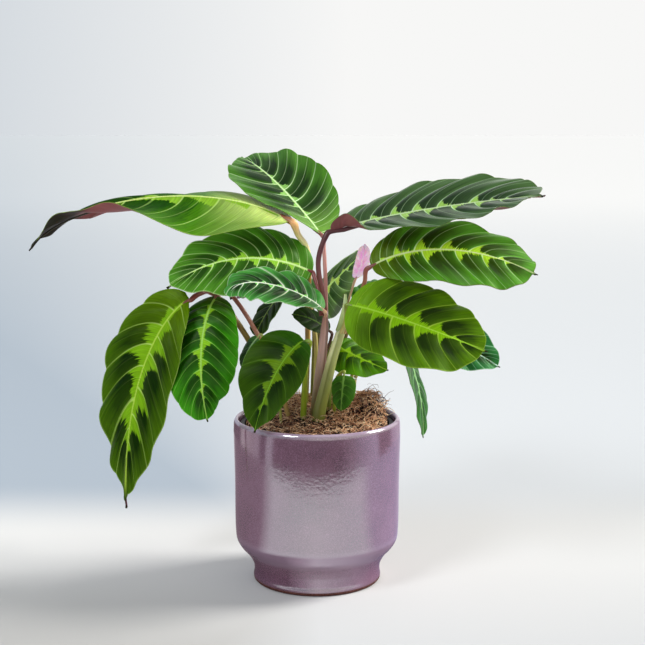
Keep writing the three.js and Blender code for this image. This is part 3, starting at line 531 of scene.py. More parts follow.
# The sheathed shoots, and the new leaf that is still rolled up. seam: where the sheath's free edge stands,
# in degrees round the stem. side: the sheath's tone on one side of its seam.
SHOOTS = {
  "shoot_centre": dict(tones=("#6f7a30", "#949050", "#b49c84", "#bc9c90", "#cca294", "#c08a70"),
    radii=(5.0, 4.6, 4.2, 3.8, 3.1, 1.7), seam=-62, side="#86645a",
    points=((-1.6, 14, STEM_BASE), (-0.6, 12, 142), (1.4, 8, 166), (4.4, 2.4, 192), (6.3, -2.2, 214),
    (7.3, -3.8, 227))),
  "shoot_right": dict(tones=("#505818", "#80883a", "#b0b868", "#d0d498", "#dce0ac", "#c8d49c"),
    radii=(5.6, 5.4, 4.7, 4.1, 3.8, 1.8), seam=-112, side="#8c9640",
    points=((-1.4, 0.4, STEM_BASE), (1.6, 0, 140), (7, -2, 165), (13.4, -3, 191), (19.3, -3.2, 210),
    (20.7, -3.3, 214.5))),
  "shoot_back_right": dict(tones=("#b4b454", "#d8d080", "#e0d894"), radii=(3.1, 2.8, 3.0),
    points=((27, 29, STEM_BASE), (28.4, 28.6, 140), (31, 28, 165.6))),
  "rolled_leaf": dict(tones=("#a4b868", "#b8cc84", "#c8d8a0"), radii=(2.6, 2.5, 1.9, 0.9), seam=-80,
    side="#7c9a4c",
    points=((18, -2.8, 212), (21.4, -2.5, 223), (23.2, -2, 233), (23.6, -2, 243))),
}


# ---------- leaf blades ----------
LARGE_GRID = (190, 52)  # rows from base to tip, and columns across
SMALL_GRID = (90, 32)
RIB_STEPS = 120
HOOK_POWER = 8  # a high one, so that the hook bends the tip alone
RIGHT_WAVE_LAG = 1.5  # radians by which the right margin's waves come after the left one's


def midrib(leaf):
    """The midrib's points, its direction, and the directions across and above it."""
    s = np.linspace(0, 1, RIB_STEPS + 1)
    slope = leaf["rise"] + (leaf["fall"] - leaf["rise"]) * s ** leaf["ease"] + leaf["hook"] * s ** HOOK_POWER
    pitch = np.radians(slope)
    heading = np.radians(leaf["heading"] + leaf["swing"] * s)
    along = np.stack([np.cos(pitch) * np.cos(heading), np.cos(pitch) * np.sin(heading),
                      np.sin(pitch)], axis=1)
    step = leaf["length"] / RIB_STEPS
    moves = (along[1:] + along[:-1]) * step / 2
    points = np.vstack([np.zeros(3), np.cumsum(moves, axis=0)]) + np.array(leaf["collar"])
    level = np.stack([-np.sin(heading), np.cos(heading), np.zeros_like(s)], axis=1)
    up = np.cross(along, level)
    base, middle, tip = leaf["roll"]
    roll = base * (1 - s) * (1 - 2 * s) + 4 * middle * s * (1 - s) + tip * s * (2 * s - 1)
    roll = np.radians(roll)[:, None]
    across = level * np.cos(roll) + up * np.sin(roll)
    above = up * np.cos(roll) - level * np.sin(roll)
    return dict(points=points, along=along, across=across, above=above)


def sample(rows, s):
    """The rows of a midrib table at the shares s of its length."""
    place = np.clip(s, 0, 1) * RIB_STEPS
    first = np.minimum(place.astype(int), RIB_STEPS - 1)
    share = (place - first)[:, None]
    return rows[first] * (1 - share) + rows[first + 1] * share


def outline(s, taper):
    """Width of the blade along its length, 1 at its widest."""
    peak = BASE_ROUNDNESS / (BASE_ROUNDNESS + taper)
    return s ** BASE_ROUNDNESS * (1 - s) ** taper / (peak ** BASE_ROUNDNESS * (1 - peak) ** taper)


def vein_phase(leaf, a, left):
    """How many side veins lie between the base and this row; their spacing varies a little."""
    turn = 2 * math.pi * a
    seed = leaf["length"] + np.where(left, 1.7, 0)
    crowded = (a + 0.05 * np.sin(turn) + 0.009 * np.sin(2.7 * turn + seed)
               + 0.006 * np.sin(4.3 * turn + 2 * seed))
    return leaf["veins"] * crowded + np.where(left, VEIN_OFFSET, 0)


def half_width(leaf, a):
    """Half the blade's width at the margin's end of each row, in mm."""
    margin_s = a + VEIN_SWEEP * a * (1 - a)
    tip_start = 1 - leaf["tail"]
    half = leaf["width"] / 2 * outline(np.clip(margin_s / tip_start, 0, 1), leaf["taper"])
    return half + COLLAR_HALF_WIDTH * (1 - margin_s) + DRIP_TIP_HALF_WIDTH


def quilting(leaf, a, out, left):
    """The blade arches up like a quilt between the side veins, and its margin is scalloped with them.

    Gives how far each place is lifted, and how far it is pushed outwards.
    """
    phase = vein_phase(leaf, a, left)
    panel = phase - np.floor(phase)
    body = smooth(0, 0.1, a) * (1 - smooth(0.88, 0.98, a))
    fullness = np.clip(2.6 * half_width(leaf, a) / leaf["width"], 0, 1)
    pillow = leaf["quilt"] * (np.sin(math.pi * panel) ** QUILT_ROUNDNESS - QUILT_SUNK) * fullness * body
    arch = pillow * smooth(0.03, 0.4, out) * (1 - 0.35 * smooth(0.75, 1, out))
    ridge = RIB_RISE * (1 - smooth(0, 0.06, out)) * body
    return arch + ridge, SCALLOP_SHARE * pillow * out ** 5


def blade_points(leaf, a, t):
    """Places on the blade: a runs from base to tip, t from the right margin (-1) to the left one (1)."""
    rib = midrib(leaf)
    left = t > 0
    out = np.abs(t)
    share = np.where(left, *leaf["halves"])
    s = a + VEIN_SWEEP * a * (1 - a) * out ** VEIN_BEND
    turn = smooth(*leaf["fold"], a)
    left_base, left_tip, right_base, right_tip = leaf["cup"]
    cup = np.where(left, left_base + (left_tip - left_base) * turn,
                   right_base + (right_tip - right_base) * turn)
    curl = np.where(left, *leaf["curl"])
    flip, flip_end = leaf["base_flip"]
    cup = cup + np.where(left, 0, flip * (1 - smooth(0.4 * flip_end, flip_end, a)))
    slope = np.radians(cup + curl * out / 2)
    width = half_width(leaf, a) * out * (1 + (share - 1) * smooth(0, 0.3, a))
    beat = 2 * math.pi * leaf["waves"] * a + np.where(left, 0, RIGHT_WAVE_LAG)
    ripple = leaf["wave"] * out ** 2 * np.sin(beat) * np.sqrt(np.sin(math.pi * np.clip(a, 0, 1)))
    lifted, pushed = quilting(leaf, a, out, left)
    lift = width * np.sin(slope) + ripple + lifted
    reach = width * np.cos(slope) + pushed
    return (sample(rib["points"], s)
            + sample(rib["across"], s) * (reach * np.sign(t))[:, None]
            + sample(rib["above"], s) * lift[:, None])


def pattern_maps(leaf, mesh, a, t):
    """The UV maps that the blade's pattern follows: veins, feather and rib."""
    corner_vertex = np.empty(len(mesh.loops), dtype=int)
    mesh.loops.foreach_get("vertex_index", corner_vertex)
    face_side = t[corner_vertex.reshape(-1, 4)].mean(axis=1) > 0
    left = np.repeat(face_side, 4)
    a = a[corner_vertex]
    out = np.abs(t[corner_vertex])
    s = a + VEIN_SWEEP * a * (1 - a) * out ** VEIN_BEND
    phase = vein_phase(leaf, a, left)
    uneven = 1 + 0.22 * np.sin(2.3 * phase + leaf["length"])
    spike = leaf["reach"] * smooth(-0.1, 0.3, a) * (1 - 0.7 * smooth(0.55, 1.0, a)) * uneven
    from_rib = half_width(leaf, a) * out / (leaf["rib_half"] * (1.1 - 0.6 * s))
    for map_name, first, second in (("veins", phase, out), ("feather", out / spike, s),
                                    ("rib", from_rib, left.astype(float))):
        layer = mesh.uv_layers.new(name=map_name)
        layer.data.foreach_set("uv", np.stack([first, second], axis=1).ravel())
    mesh.update()


def make_solid(blade):
    """Give a blade its thickness, with the upper side's material round its margin."""
    select(blade)
    thickness = blade.modifiers.new("thickness", "SOLIDIFY")
    thickness.thickness = BLADE_THICKNESS * MM
    thickness.offset = 0
    thickness.use_even_offset = False
    thickness.material_offset = 1
    thickness.material_offset_rim = 0
    bpy.ops.object.modifier_apply(modifier=thickness.name)


def leaf_blade(leaf):
    """One blade: a fine grid laid on the leaf's surface, with its pattern maps, then made thin and solid."""
    rows, columns = SMALL_GRID if leaf["small"] else LARGE_GRID
    deselect()
    bpy.ops.mesh.primitive_grid_add(x_subdivisions=rows, y_subdivisions=columns, size=1, calc_uvs=False)
    blade = bpy.context.object
    mesh = blade.data
    flat = np.empty(len(mesh.vertices) * 3)
    mesh.vertices.foreach_get("co", flat)
    flat = flat.reshape(-1, 3)
    even = flat[:, 0] + 0.5
    a = (even + (1 - np.cos(math.pi * even)) / 2) / 2
    t = 2 * flat[:, 1]
    mesh.vertices.foreach_set("co", (blade_points(leaf, a, t) * MM).ravel())
    pattern_maps(leaf, mesh, a, t)
    wear(blade, [leaf_top_material(leaf), leaf_under_material(leaf)])
    make_solid(blade)
    slot = "young_leaf" if leaf["name"] == "young_pink" else "leaf"
    finish_piece(blade, f"blade_{leaf['name']}", [], slot, f"leaf_{leaf['name']}")
    shade(blade, 60)


# ---------- stalks and shoots ----------
LARGE_LEAD = 5.5
SMALL_LEAD = 3.5


def round_path(points, steps=8):
    """A centripetal curve through the points, as in the CAD model, in equal steps from one to the next."""
    points = [Vector(point) for point in points]
    ends = [2 * points[0] - points[1], *points, 2 * points[-1] - points[-2]]
    path = []
    for p0, p1, p2, p3 in zip(ends, ends[1:], ends[2:], ends[3:]):
        t0, t1, t2 = (p1 - p0).length ** 0.5, (p2 - p1).length ** 0.5, (p3 - p2).length ** 0.5
        leave = ((p1 - p0) / t0 - (p2 - p0) / (t0 + t1) + (p2 - p1) / t1) * t1
        arrive = ((p2 - p1) / t1 - (p3 - p1) / (t1 + t2) + (p3 - p2) / t2) * t1
        for k in range(steps):
            u = k / steps
            path.append(p1 * (2 * u ** 3 - 3 * u ** 2 + 1) + leave * (u ** 3 - 2 * u ** 2 + u)
                        + p2 * (3 * u ** 2 - 2 * u ** 3) + arrive * (u ** 3 - u ** 2))
    path.append(points[-1])
    return path


def tube(path, radii, sides):
    """A round tapering tube along a path, with its grain: round the tube, and from 0 to 1 along it."""
    bpy.ops.curve.primitive_nurbs_path_add()
    shape = bpy.context.object
    curve = shape.data
    curve.splines.clear()
    spline = curve.splines.new("POLY")
    spline.points.add(len(path) - 1)
    for point, place, radius in zip(spline.points, path, radii):
        point.co = (*(Vector(place) * MM), 1)
        point.radius = radius * MM
    curve.bevel_depth = 1
    curve.bevel_resolution = (sides - 4) // 2
    curve.use_fill_caps = True
    select(shape)
    bpy.ops.object.convert(target="MESH")
    piece = bpy.context.object
    round_count = len(piece.data.vertices) // len(path)
    grain = piece.data.attributes.new("grain", "FLOAT_VECTOR", "POINT")
    values = []
    for index in range(len(piece.data.vertices)):
        angle = 2 * math.pi * (index % round_count) / round_count
        along = (index // round_count) / (len(path) - 1)
        values += [math.cos(angle), math.sin(angle), along]
    grain.data.foreach_set("vector", values)
    shade(piece, 70)
    return piece


def spread(values, count):
    """The values as count evenly spaced ones."""
    return list(np.interp(np.linspace(0, 1, count), np.linspace(0, 1, len(values)), values))


def leaf_stalk(leaf):
    """A stalk that runs into its blade, swells at the joint below it, and goes on as the blade's keel."""
    stalk = STALKS[leaf["name"]]
    rib = midrib(leaf)
    collar, into = Vector(rib["points"][0]), Vector(rib["along"][0])
    lead = stalk.get("lead", SMALL_LEAD if leaf["small"] else LARGE_LEAD)
    path = round_path([*stalk["points"], collar - into * lead, collar - into * COLLAR_GAP])
    radii = spread(stalk["radii"], len(path))
    thick = radii[-1]
    lengths = np.cumsum([0] + [(b - a).length for a, b in zip(path, path[1:])])
    for i, length in enumerate(lengths):
        left = lengths[-1] - length
        radii[i] *= 1 + JOINT_SWELL * float(smooth(0, 3, left)) * float(1 - smooth(6, 12, left))
    for s in np.linspace(0.02, 0.93, 26):
        keel = thick * KEEL_SHARE * (1 - s) ** 0.9 + KEEL_LEAST
        under = (keel + 0.45) * float(smooth(0, 0.05, s))
        middle, above = (sample(rib[rows], np.array([s]))[0] for rows in ("points", "above"))
        path.append(Vector(middle - above * under))
        radii.append(keel)
    piece = tube(path, radii, 12)
    finish_piece(piece, f"petiole_{leaf['name']}", [stalk_material(leaf["name"], stalk["tones"])],
                 "stalk", f"stalk_{leaf['name']}")


def lap_sheath(piece, path, seam):
    """Raise the stem on one side of its seam, so the sheath's free edge shows as a step that runs down it."""
    mesh = piece.data
    round_count = len(mesh.vertices) // len(path)
    grain = mesh.attributes["grain"].data
    for index, vertex in enumerate(mesh.vertices):
        ring = min(index // round_count, len(path) - 1)
        centre = path[ring] * MM
        spoke = vertex.co - centre
        turn = math.atan2(spoke.y, spoke.x)
        grain[index].vector = (math.cos(turn), math.sin(turn), ring / (len(path) - 1))
        past_seam = (turn - math.radians(seam)) % (2 * math.pi)
        step = SHEATH_LAP * (1 - past_seam / (2 * math.pi)) ** 2
        vertex.co = centre + spoke * (1 + step * MM / max(spoke.length, 0.1 * MM))


def shoot_piece(name, shoot):
    """A sheathed shoot: a round stem with the overlapping edge of its sheath."""
    path = round_path(shoot["points"], 12)
    piece = tube(path, spread(shoot["radii"], len(path)), 32)
    seam = shoot.get("seam", -100)
    lap_sheath(piece, path, seam)
    finish_piece(piece, name + "_sheath", [stalk_material(name, shoot["tones"], shoot.get("side"), seam)],
                 "stalk", name)


for entry in LEAVES:
    leaf = {**LEAF_DEFAULTS, **entry}
    leaf_blade(leaf)
    leaf_stalk(leaf)
for name, shoot in SHOOTS.items():
    shoot_piece(name, shoot)


# ---------- pots ----------
# The paler bands at the rim and over the shoulder are partly the glaze breaking paler over the edges and
# partly painted highlight.
RIM_BAND = 2.6   # how far down from the rim the glaze is paler
FOOT_BAND = 4.5  # how far up from the ground it is browner


def glaze_material():
    """Stoneware under a plum lustre glaze: a mirror-like skin over a speckled, cloudy body colour."""
    material, tree, shader = new_material("plum_lustre_glaze")
    place = add(tree, "TexCoord").outputs["Object"]
    height = add(tree, "SeparateXYZ", {0: place}).outputs[2]
    clouds, specks, skin = (add(tree, "TexNoise", {"Vector": place, "Scale": scale, "Detail": detail})
                            for scale, detail in ((30, 5), (1300, 2), (420, 2)))
    body = add(tree, "ValToRGB", {0: clouds}, [(0.3, "#5f4152"), (0.5, "#6a4859"), (0.7, "#765366")])
    above_crease, below_top = (
        add(tree, "MapRange", {0: height, 1: start * MM, 2: full * MM}, interpolation_type="SMOOTHSTEP")
        for start, full in ((SHOULDER_CREASE - 3, SHOULDER_CREASE + 3), (SHOULDER_TOP + 2, SHOULDER_TOP - 8)))
    # the rim band and the shoulder band are partly the glaze breaking paler over its edges, partly painted
    # highlight
    base = paint(tree, body, [
        (specks, 0.45, 0.75, 0.4, "#b58aa6"),
        (height, (POT_HEIGHT - RIM_BAND) * MM, (POT_HEIGHT - 0.8) * MM, 0.75, "#c3adc4"),
        (above_crease, 0, 1, below_top, "#8c7486"),
        (height, FOOT_BAND * MM, 2.4 * MM, 0.8, "#5a3434")])

    # wheel rings and the glaze's slow flow bend the reflections, its fine skin roughens their edges
    rings = stretched_noise(tree, place, (45, 45, 130), 2)
    ring_bump = add(tree, "Bump", {"Height": rings, "Strength": 0.07, "Distance": 0.8 * MM})
    bump = add(tree, "Bump", {"Height": skin, "Normal": ring_bump, "Strength": 0.3, "Distance": 0.15 * MM})
    plug(shader, {"Base Color": base, "Normal": bump, "Roughness": 0.1, "IOR": 2.2,
                  "Specular IOR Level": 0.8})
    return material


def bare_clay_material():
    """The wiped foot ring: bare fired stoneware, matte, reddish brown, with fine grit."""
    material, tree, shader = new_material("bare_fired_stoneware")
    place = add(tree, "TexCoord").outputs["Object"]
    grit = add(tree, "TexNoise", {"Vector": place, "Scale": 900.0, "Detail": 3.0})
    base = add(tree, "ValToRGB", {0: grit}, [(0.35, "#3c211e"), (0.65, "#6a413a")])
    bump = add(tree, "Bump", {"Height": grit, "Strength": 0.4, "Distance": 0.2 * MM})
    plug(shader, {"Base Color": base, "Normal": bump, "Roughness": 0.85, "Specular IOR Level": 0.2})
    return material


def plastic_material():
    """Black blow-moulded polypropylene, satin, a little dusty."""
    material, tree, shader = new_material("black_moulded_plastic")
    place = add(tree, "TexCoord").outputs["Object"]
    dust = add(tree, "TexNoise", {"Vector": place, "Scale": 260.0, "Detail": 4.0})
    base = add(tree, "ValToRGB", {0: dust}, [(0.45, "#171616"), (0.75, "#3a342f")])
    plug(shader, {"Base Color": base, "Roughness": add(tree, "MapRange", {0: dust, 3: 0.35, 4: 0.65})})
    return material


def spin_profile(profile, steps):
    """Turn a profile of (radius, height) points round the Z axis into a closed solid."""
    deselect()
    bpy.ops.mesh.primitive_plane_add(size=1 * MM)
    piece = bpy.context.object
    bpy.ops.object.mode_set(mode="EDIT")
    bpy.ops.mesh.select_all(action="SELECT")
    bpy.ops.mesh.delete(type="VERT")
    bpy.ops.object.mode_set(mode="OBJECT")
    piece.data.from_pydata([(r * MM, 0, z * MM) for r, z in profile],
                           [(i, i + 1) for i in range(len(profile) - 1)], [])
    bpy.ops.object.mode_set(mode="EDIT")
    bpy.ops.mesh.select_all(action="SELECT")
    bpy.ops.mesh.spin(steps=steps, angle=2 * math.pi, center=(0, 0, 0), axis=(0, 0, 1))
    bpy.ops.mesh.select_all(action="SELECT")
    bpy.ops.mesh.remove_doubles(threshold=0.01 * MM)
    bpy.ops.mesh.normals_make_consistent(inside=False)
    bpy.ops.object.mode_set(mode="OBJECT")
    return piece


def rounded(points):
    """The points joined by a smooth curve in their own plane."""
    path = round_path([(r, 0, z) for r, z in points], 6)
    return [(max(point.x, 0), point.z) for point in path]


def cover_pot():
    """The glazed pot: flared foot, crease, round shoulder, straight side and rounded rim."""
    outer, inner = POT_RADIUS, POT_RADIUS - POT_WALL
    foot = [(FOOT_RADIUS - 2.4, 0), (FOOT_RADIUS - 0.5, 0.9), (FOOT_RADIUS, 3), (FOOT_RADIUS - 0.7, 8),
            (FOOT_RADIUS, 14), (FOOT_RADIUS + 2, 18.5), (FOOT_RADIUS + 3.8, 21.5)]
    shoulder = [(FOOT_RADIUS + 6.4, SHOULDER_CREASE), (FOOT_RADIUS + 9.6, 28.4), (outer - 4, 31.5),
                (outer - 2, 35.5), (outer - 1.1, SHOULDER_TOP)]
    rim = [(outer, POT_HEIGHT - 5), (outer - 0.7, POT_HEIGHT - 1.4), (outer - 2.3, POT_HEIGHT),
           (inner + 1.1, POT_HEIGHT - 0.4), (inner, POT_HEIGHT - 3)]
    inside = [(inner - 0.4, 90), (inner - 1.4, 44), (inner - 4.5, 33), (FOOT_RADIUS + 1.5, 25),
              (FOOT_RADIUS - 4.4, 16), (FOOT_RADIUS - 5.6, 9), (FOOT_RADIUS - 8, POT_FLOOR)]
    side = [(outer - 0.5, 90)]
    profile = [(0, 0), *rounded(foot + shoulder + side + rim), *rounded(inside), (0, POT_FLOOR)]
    piece = spin_profile(profile, 128)
    finish_piece(piece, "glazed_pot", [glaze_material(), bare_clay_material()], "glaze", "cover_pot")
    for face in piece.data.polygons:
        if face.center.z < FOOT_RING * MM:
            face.material_index = 1
    shade(piece, 40)


def nursery_pot():
    """The thin black pot that stands inside, with its rolled lip."""
    floor, wall = POT_FLOOR + 0.35, NURSERY_WALL
    profile = [(0, floor), (NURSERY_BASE_RADIUS, floor), (NURSERY_RADIUS, NURSERY_LIP_BOTTOM),
               (NURSERY_RADIUS, NURSERY_LIP_BOTTOM + 3), (NURSERY_LIP_RADIUS, NURSERY_LIP_BOTTOM + 3.6),
               (NURSERY_LIP_RADIUS, NURSERY_TOP - 0.6), (NURSERY_LIP_RADIUS - 0.7, NURSERY_TOP),
               (NURSERY_RADIUS - wall + 0.4, NURSERY_TOP), (NURSERY_RADIUS - wall, NURSERY_TOP - 1),
               (NURSERY_RADIUS - wall, NURSERY_LIP_BOTTOM - 0.2),
               (NURSERY_BASE_RADIUS - wall, floor + wall), (0, floor + wall)]
    piece = spin_profile(profile, 96)
    finish_piece(piece, "nursery_pot_skin", [plastic_material()], "black_plastic", "nursery_pot")
    shade(piece, 40)


cover_pot()
nursery_pot()


# ---------- the mulch ----------
BED_SEED = 7
FIBRE_STEPS = 5
OVER_RIM = POT_HEIGHT + 1.5


def coir_material(name, dark, middle, pale):
    """Dry coconut fibre: matte, mottled browns, with painted light and shade: darker on the left, where the
    plant shades the mulch, and lighter on the right, on the heap.
    """
    material, tree, shader = new_material(name)
    place = add(tree, "TexCoord").outputs["Object"]
    patches = add(tree, "TexNoise", {"Vector": place, "Scale": 420.0, "Detail": 3.0})
    base = add(tree, "ValToRGB", {0: patches}, [(0.35, dark), (0.52, middle), (0.68, pale)])
    side = add(tree, "SeparateXYZ", {0: place}).outputs[0]
    # painted shade and light: darker on the left, where the plant shades the mulch, lighter on the right
    painted_plant_shade = add(tree, "MapRange", {0: side, 1: -30 * MM, 2: 30 * MM, 3: 0.8, 4: 1.3})
    base = add(tree, "HueSaturation", {"Value": painted_plant_shade, "Color": base})
    plug(shader, {"Base Color": base, "Roughness": 0.85})
    return material


def mulch_height(x, y):
    """Height of the mulch: nearly level in front, heaped behind the stems, most on the right."""
    def heap(cx, cy, width, height):
        return height * np.exp(-((x - cx) ** 2 + (y - cy) ** 2) / (2 * width ** 2))
    edge = 1 - smooth(MULCH_RADIUS - 4, MULCH_RADIUS + 1.5, np.hypot(x, y))
    return (MULCH_LEVEL + heap(44, 23, 19, 21) * edge + heap(-28, 36, 17, 14) * edge
            + heap(6, 48, 16, 13) * edge + heap(0, 8, 20, 3))


def mulch_bed():
    """The lumpy bed under the loose fibres, a closed solid that fills the nursery pot."""
    source = random.Random(BED_SEED)
    deselect()
    bpy.ops.mesh.primitive_cylinder_add(vertices=96, radius=MULCH_RADIUS * MM, depth=100 * MM,
                                        location=(0, 0, 0), end_fill_type="NGON")
    bed = bpy.context.object
    bpy.ops.object.mode_set(mode="EDIT")
    bpy.ops.mesh.select_all(action="DESELECT")
    bpy.ops.object.mode_set(mode="OBJECT")
    top = [face for face in bed.data.polygons if face.normal.z > 0.9][0]
    top.select = True
    bpy.ops.object.mode_set(mode="EDIT")
    for inset in (3, 5, 5, 6, 6, 6, 6, 6, 6, 5):
        bpy.ops.mesh.inset(thickness=inset * MM)
    bpy.ops.mesh.poke()
    bpy.ops.object.mode_set(mode="OBJECT")
    foot_radius = NURSERY_BASE_RADIUS - NURSERY_WALL - 0.6
    for vertex in bed.data.vertices:
        x, y = vertex.co.x / MM, vertex.co.y / MM
        if vertex.co.z > 0:
            lump = source.uniform(-1.2, 1.2) if math.hypot(x, y) < MULCH_RADIUS - 1 else 0
            vertex.co.z = (float(mulch_height(x, y)) + lump) * MM
        else:
            vertex.co.x *= foot_radius / MULCH_RADIUS
            vertex.co.y *= foot_radius / MULCH_RADIUS
            vertex.co.z = (POT_FLOOR + 0.7 + NURSERY_WALL) * MM
    finish_piece(bed, "coir_bed", [coir_material("damp_coir_bed", "#120b07", "#24160e", "#402a1a")],
                 "coir", "coir_mulch")
    shade(bed, 30)


def lay_fibre(spline, source, start, heading, bend, pitch, step):
    """One fibre, which curls and sinks as it goes. It crosses the pot's rim only where it is above it."""
    x, y, z = start
    spline.points.add(FIBRE_STEPS)
    for k, point in enumerate(spline.points):
        point.co = (x * MM, y * MM, z * MM, 1)
        point.radius = (1 - 0.13 * k) * source.uniform(0.7, 1.2)
        x += step * math.cos(heading) * math.cos(pitch)
        y += step * math.sin(heading) * math.cos(pitch)
        over_rim = z > OVER_RIM
        inside = min(1, (POT_RADIUS - 2 if over_rim else MULCH_RADIUS - 0.8) / max(math.hypot(x, y), 1))
        x *= inside
        y *= inside
        ground = max(float(mulch_height(x, y)) - 0.5, OVER_RIM if over_rim else 0)
        z = max(z + step * math.sin(pitch), ground)
        heading += bend * source.uniform(0.4, 1.2)
        pitch -= source.uniform(0.1, 0.55)


def lay_fibres(curve, source, count, reach, lift, where, rise):
    """Loose curled fibres lying on the mulch, each one spline with a few points."""
    made = 0
    while made < count:
        radius = (MULCH_RADIUS - 1.5) * math.sqrt(source.random())
        turn = source.uniform(0, 2 * math.pi)
        x, y = radius * math.cos(turn), radius * math.sin(turn)
        if where and not where(x, y, source):
            continue
        made += 1
        heading = source.uniform(0, 2 * math.pi)
        bend = source.uniform(-1.1, 1.1)
        pitch = source.uniform(*rise)
        z = float(mulch_height(x, y)) + source.uniform(*lift)
        step = source.uniform(*reach) / FIBRE_STEPS
        lay_fibre(curve.splines.new("POLY"), source, (x, y, z), heading, bend, pitch, step)


def fibre_piece(name, material, seed, count, reach, thickness, lift, where=None, rise=(-0.2, 0.9)):
    """One colour of fibres as a single mesh of fine tubes."""
    bpy.ops.curve.primitive_nurbs_path_add()
    shape = bpy.context.object
    shape.data.splines.clear()
    lay_fibres(shape.data, random.Random(seed), count, reach, lift, where, rise)
    shape.data.bevel_depth = thickness * MM
    shape.data.bevel_resolution = 0
    select(shape)
    bpy.ops.object.convert(target="MESH")
    piece = bpy.context.object
    finish_piece(piece, name, [material], "coir")
    shade(piece, 60)


def more_on_heap(x, y, source):
    """More fibres where the mulch is heaped up."""
    return source.random() < 0.3 + (float(mulch_height(x, y)) - MULCH_LEVEL) / 12


def at_right_edge(x, y, source):
    """Only where the heap meets the pot's right side."""
    return 38 < x < 60 and -12 < y < 24


mulch_bed()
fibre_piece("brown_fibres", coir_material("brown_coir", "#6c4430", "#a87858", "#d0a480"), 11, 1200,
            (6, 14), 0.5, (-0.3, 2.8))
fibre_piece("tan_fibres", coir_material("tan_coir", "#cc9c70", "#f0c89c", "#ffecc8"), 12, 1500,
            (6, 15), 0.42, (0.6, 4.4), more_on_heap)
fibre_piece("dark_fibres", coir_material("dark_coir", "#1a110c", "#2a1a12", "#3e2a1c"), 13, 700,
            (6, 14), 0.5, (-0.3, 3.0))
fibre_piece("stray_fibres", coir_material("stray_coir", "#3a2a26", "#5a443c", "#8a6c58"), 14, 34,
            (14, 26), 0.28, (0.5, 2.0), at_right_edge, (0.7, 1.5))


# ---------- the stage ----------
def side_light_tint(tree, sideways, left="#b9c4cf", right="#f7f7f6"):
    """A tone that is cool and a little darker on the left, nearly white on the right: the colour of the
    room's light, which comes from the right, and of the painted light and shade on the floor.
    """
    return paint(tree, left, [(sideways, -0.42, 0.02, 1, right)])


def floor():
    """A pale floor that runs back into the backdrop's tone, with painted light and shade: darker in front of
    the pot, and cool and darker on the left, lighter on the right, behind it.
    """
    deselect()
    bpy.ops.mesh.primitive_plane_add(size=200)
    ground = bpy.context.object
    ground.name = "floor"
    material, tree, shader = new_material("pale_floor")
    place = add(tree, "TexCoord").outputs["Object"]
    back = add(tree, "SeparateXYZ", {0: place}).outputs[1]
    direction = add(tree, "VectorMath", {0: place}, operation="NORMALIZE")
    sideways = add(tree, "SeparateXYZ", {0: direction}).outputs[0]
    distance = add(tree, "VectorMath", {0: place}, operation="LENGTH")
    table_share, far_share = (
        add(tree, "MapRange", {0: guide, 1: start, 2: full}, interpolation_type="SMOOTHSTEP")
        for guide, start, full in ((back, 0.11, 0.3), (distance, 0.6, 7.0)))
    # painted shade: a darker band in front of the pot, and darker, cooler tones on the left, lighter ones on
    # the right, as the light comes from the right
    tone = paint(tree, "#d8d8d6", [
        (back, 0.02, -0.16, 1, side_light_tint(tree, sideways, "#b8b7b4", "#cbcccc")),
        (table_share, 0, 1, 1, side_light_tint(tree, sideways, "#a4aeb8", "#d3d6d8")),
        (far_share, 0, 1, 1, side_light_tint(tree, sideways, "#afbac4", "#eaeae9"))])
    plug(shader, {"Base Color": tone, "Roughness": 0.8, "Specular IOR Level": 0.0})
    wear(ground, [material])


def add_light(name, kind, place, towards, power, tint, **settings):
    """A light at a place, turned in a direction."""
    bpy.ops.object.light_add(type=kind, location=place)
    light = bpy.context.object
    light.name = name
    light.data.energy = power
    light.data.color = colour(tint)[:3]
    for setting, value in settings.items():
        setattr(light.data, setting, value)
    light.rotation_euler = Vector(towards).to_track_quat("-Z", "Y").to_euler()


def room_cards():
    """Light and dark cards round the pot, which only the glaze mirrors, as in a product studio.

    There are four rings: the table under the crease, the table close to the foot, the table beyond it,
    and the darker room.
    """
    deselect()
    bpy.ops.mesh.primitive_circle_add(vertices=180, radius=CARDS_RADIUS, fill_type="NGON",
                                      location=(0, 0, CARDS_HEIGHT * MM))
    card = bpy.context.object
    card.name = "room_cards"
    bpy.ops.object.mode_set(mode="EDIT")
    bpy.ops.mesh.select_all(action="SELECT")
    bpy.ops.mesh.inset(thickness=CARDS_RADIUS - (FOOT_RADIUS + 0.3) * MM)
    bpy.ops.mesh.delete(type="FACE")
    bpy.ops.object.mode_set(mode="OBJECT")
    material, tree, shader = new_material("studio_cards")
    place = add(tree, "TexCoord").outputs["Object"]
    turned = add(tree, "Mapping", {0: place, "Rotation": (0, 0, math.radians(90))})
    sweep = add(tree, "TexGradient", {0: turned}, gradient_type="RADIAL").outputs[1]
    distance = add(tree, "VectorMath", {0: place}, operation="LENGTH")
    set_back = add(tree, "VectorMath", {0: place, 1: (0, -ROOM_CENTRE * MM, 0)}, operation="ADD")
    reach = add(tree, "VectorMath", {0: set_back}, operation="LENGTH")
    is_far = add(tree, "Math", {0: reach, 1: (FAR_CARDS + ROOM_CENTRE) * MM}, operation="GREATER_THAN")
    crease, foot, near, far = (
        add(tree, "ValToRGB", {0: sweep}, [(0.5 + degrees / 360, tone) for degrees, tone in tones])
        for tones in (CREASE_TONES, FOOT_TONES, NEAR_TONES, FAR_TONES))
    tone = paint(tree, crease, [
        (distance, (CREASE_CARDS - 3) * MM, (CREASE_CARDS + 3) * MM, 1, foot),
        (distance, (NEAR_CARDS - 15) * MM, (NEAR_CARDS + 15) * MM, 1, near),
        (is_far, 0, 1, 1, far)])
    plug(shader, {"Base Color": "#000000", "Roughness": 1, "Emission Strength": 1.3, "Emission Color": tone})
    wear(card, [material])
    for ray in ("camera", "diffuse", "shadow", "transmission"):
        setattr(card, "visible_" + ray, False)


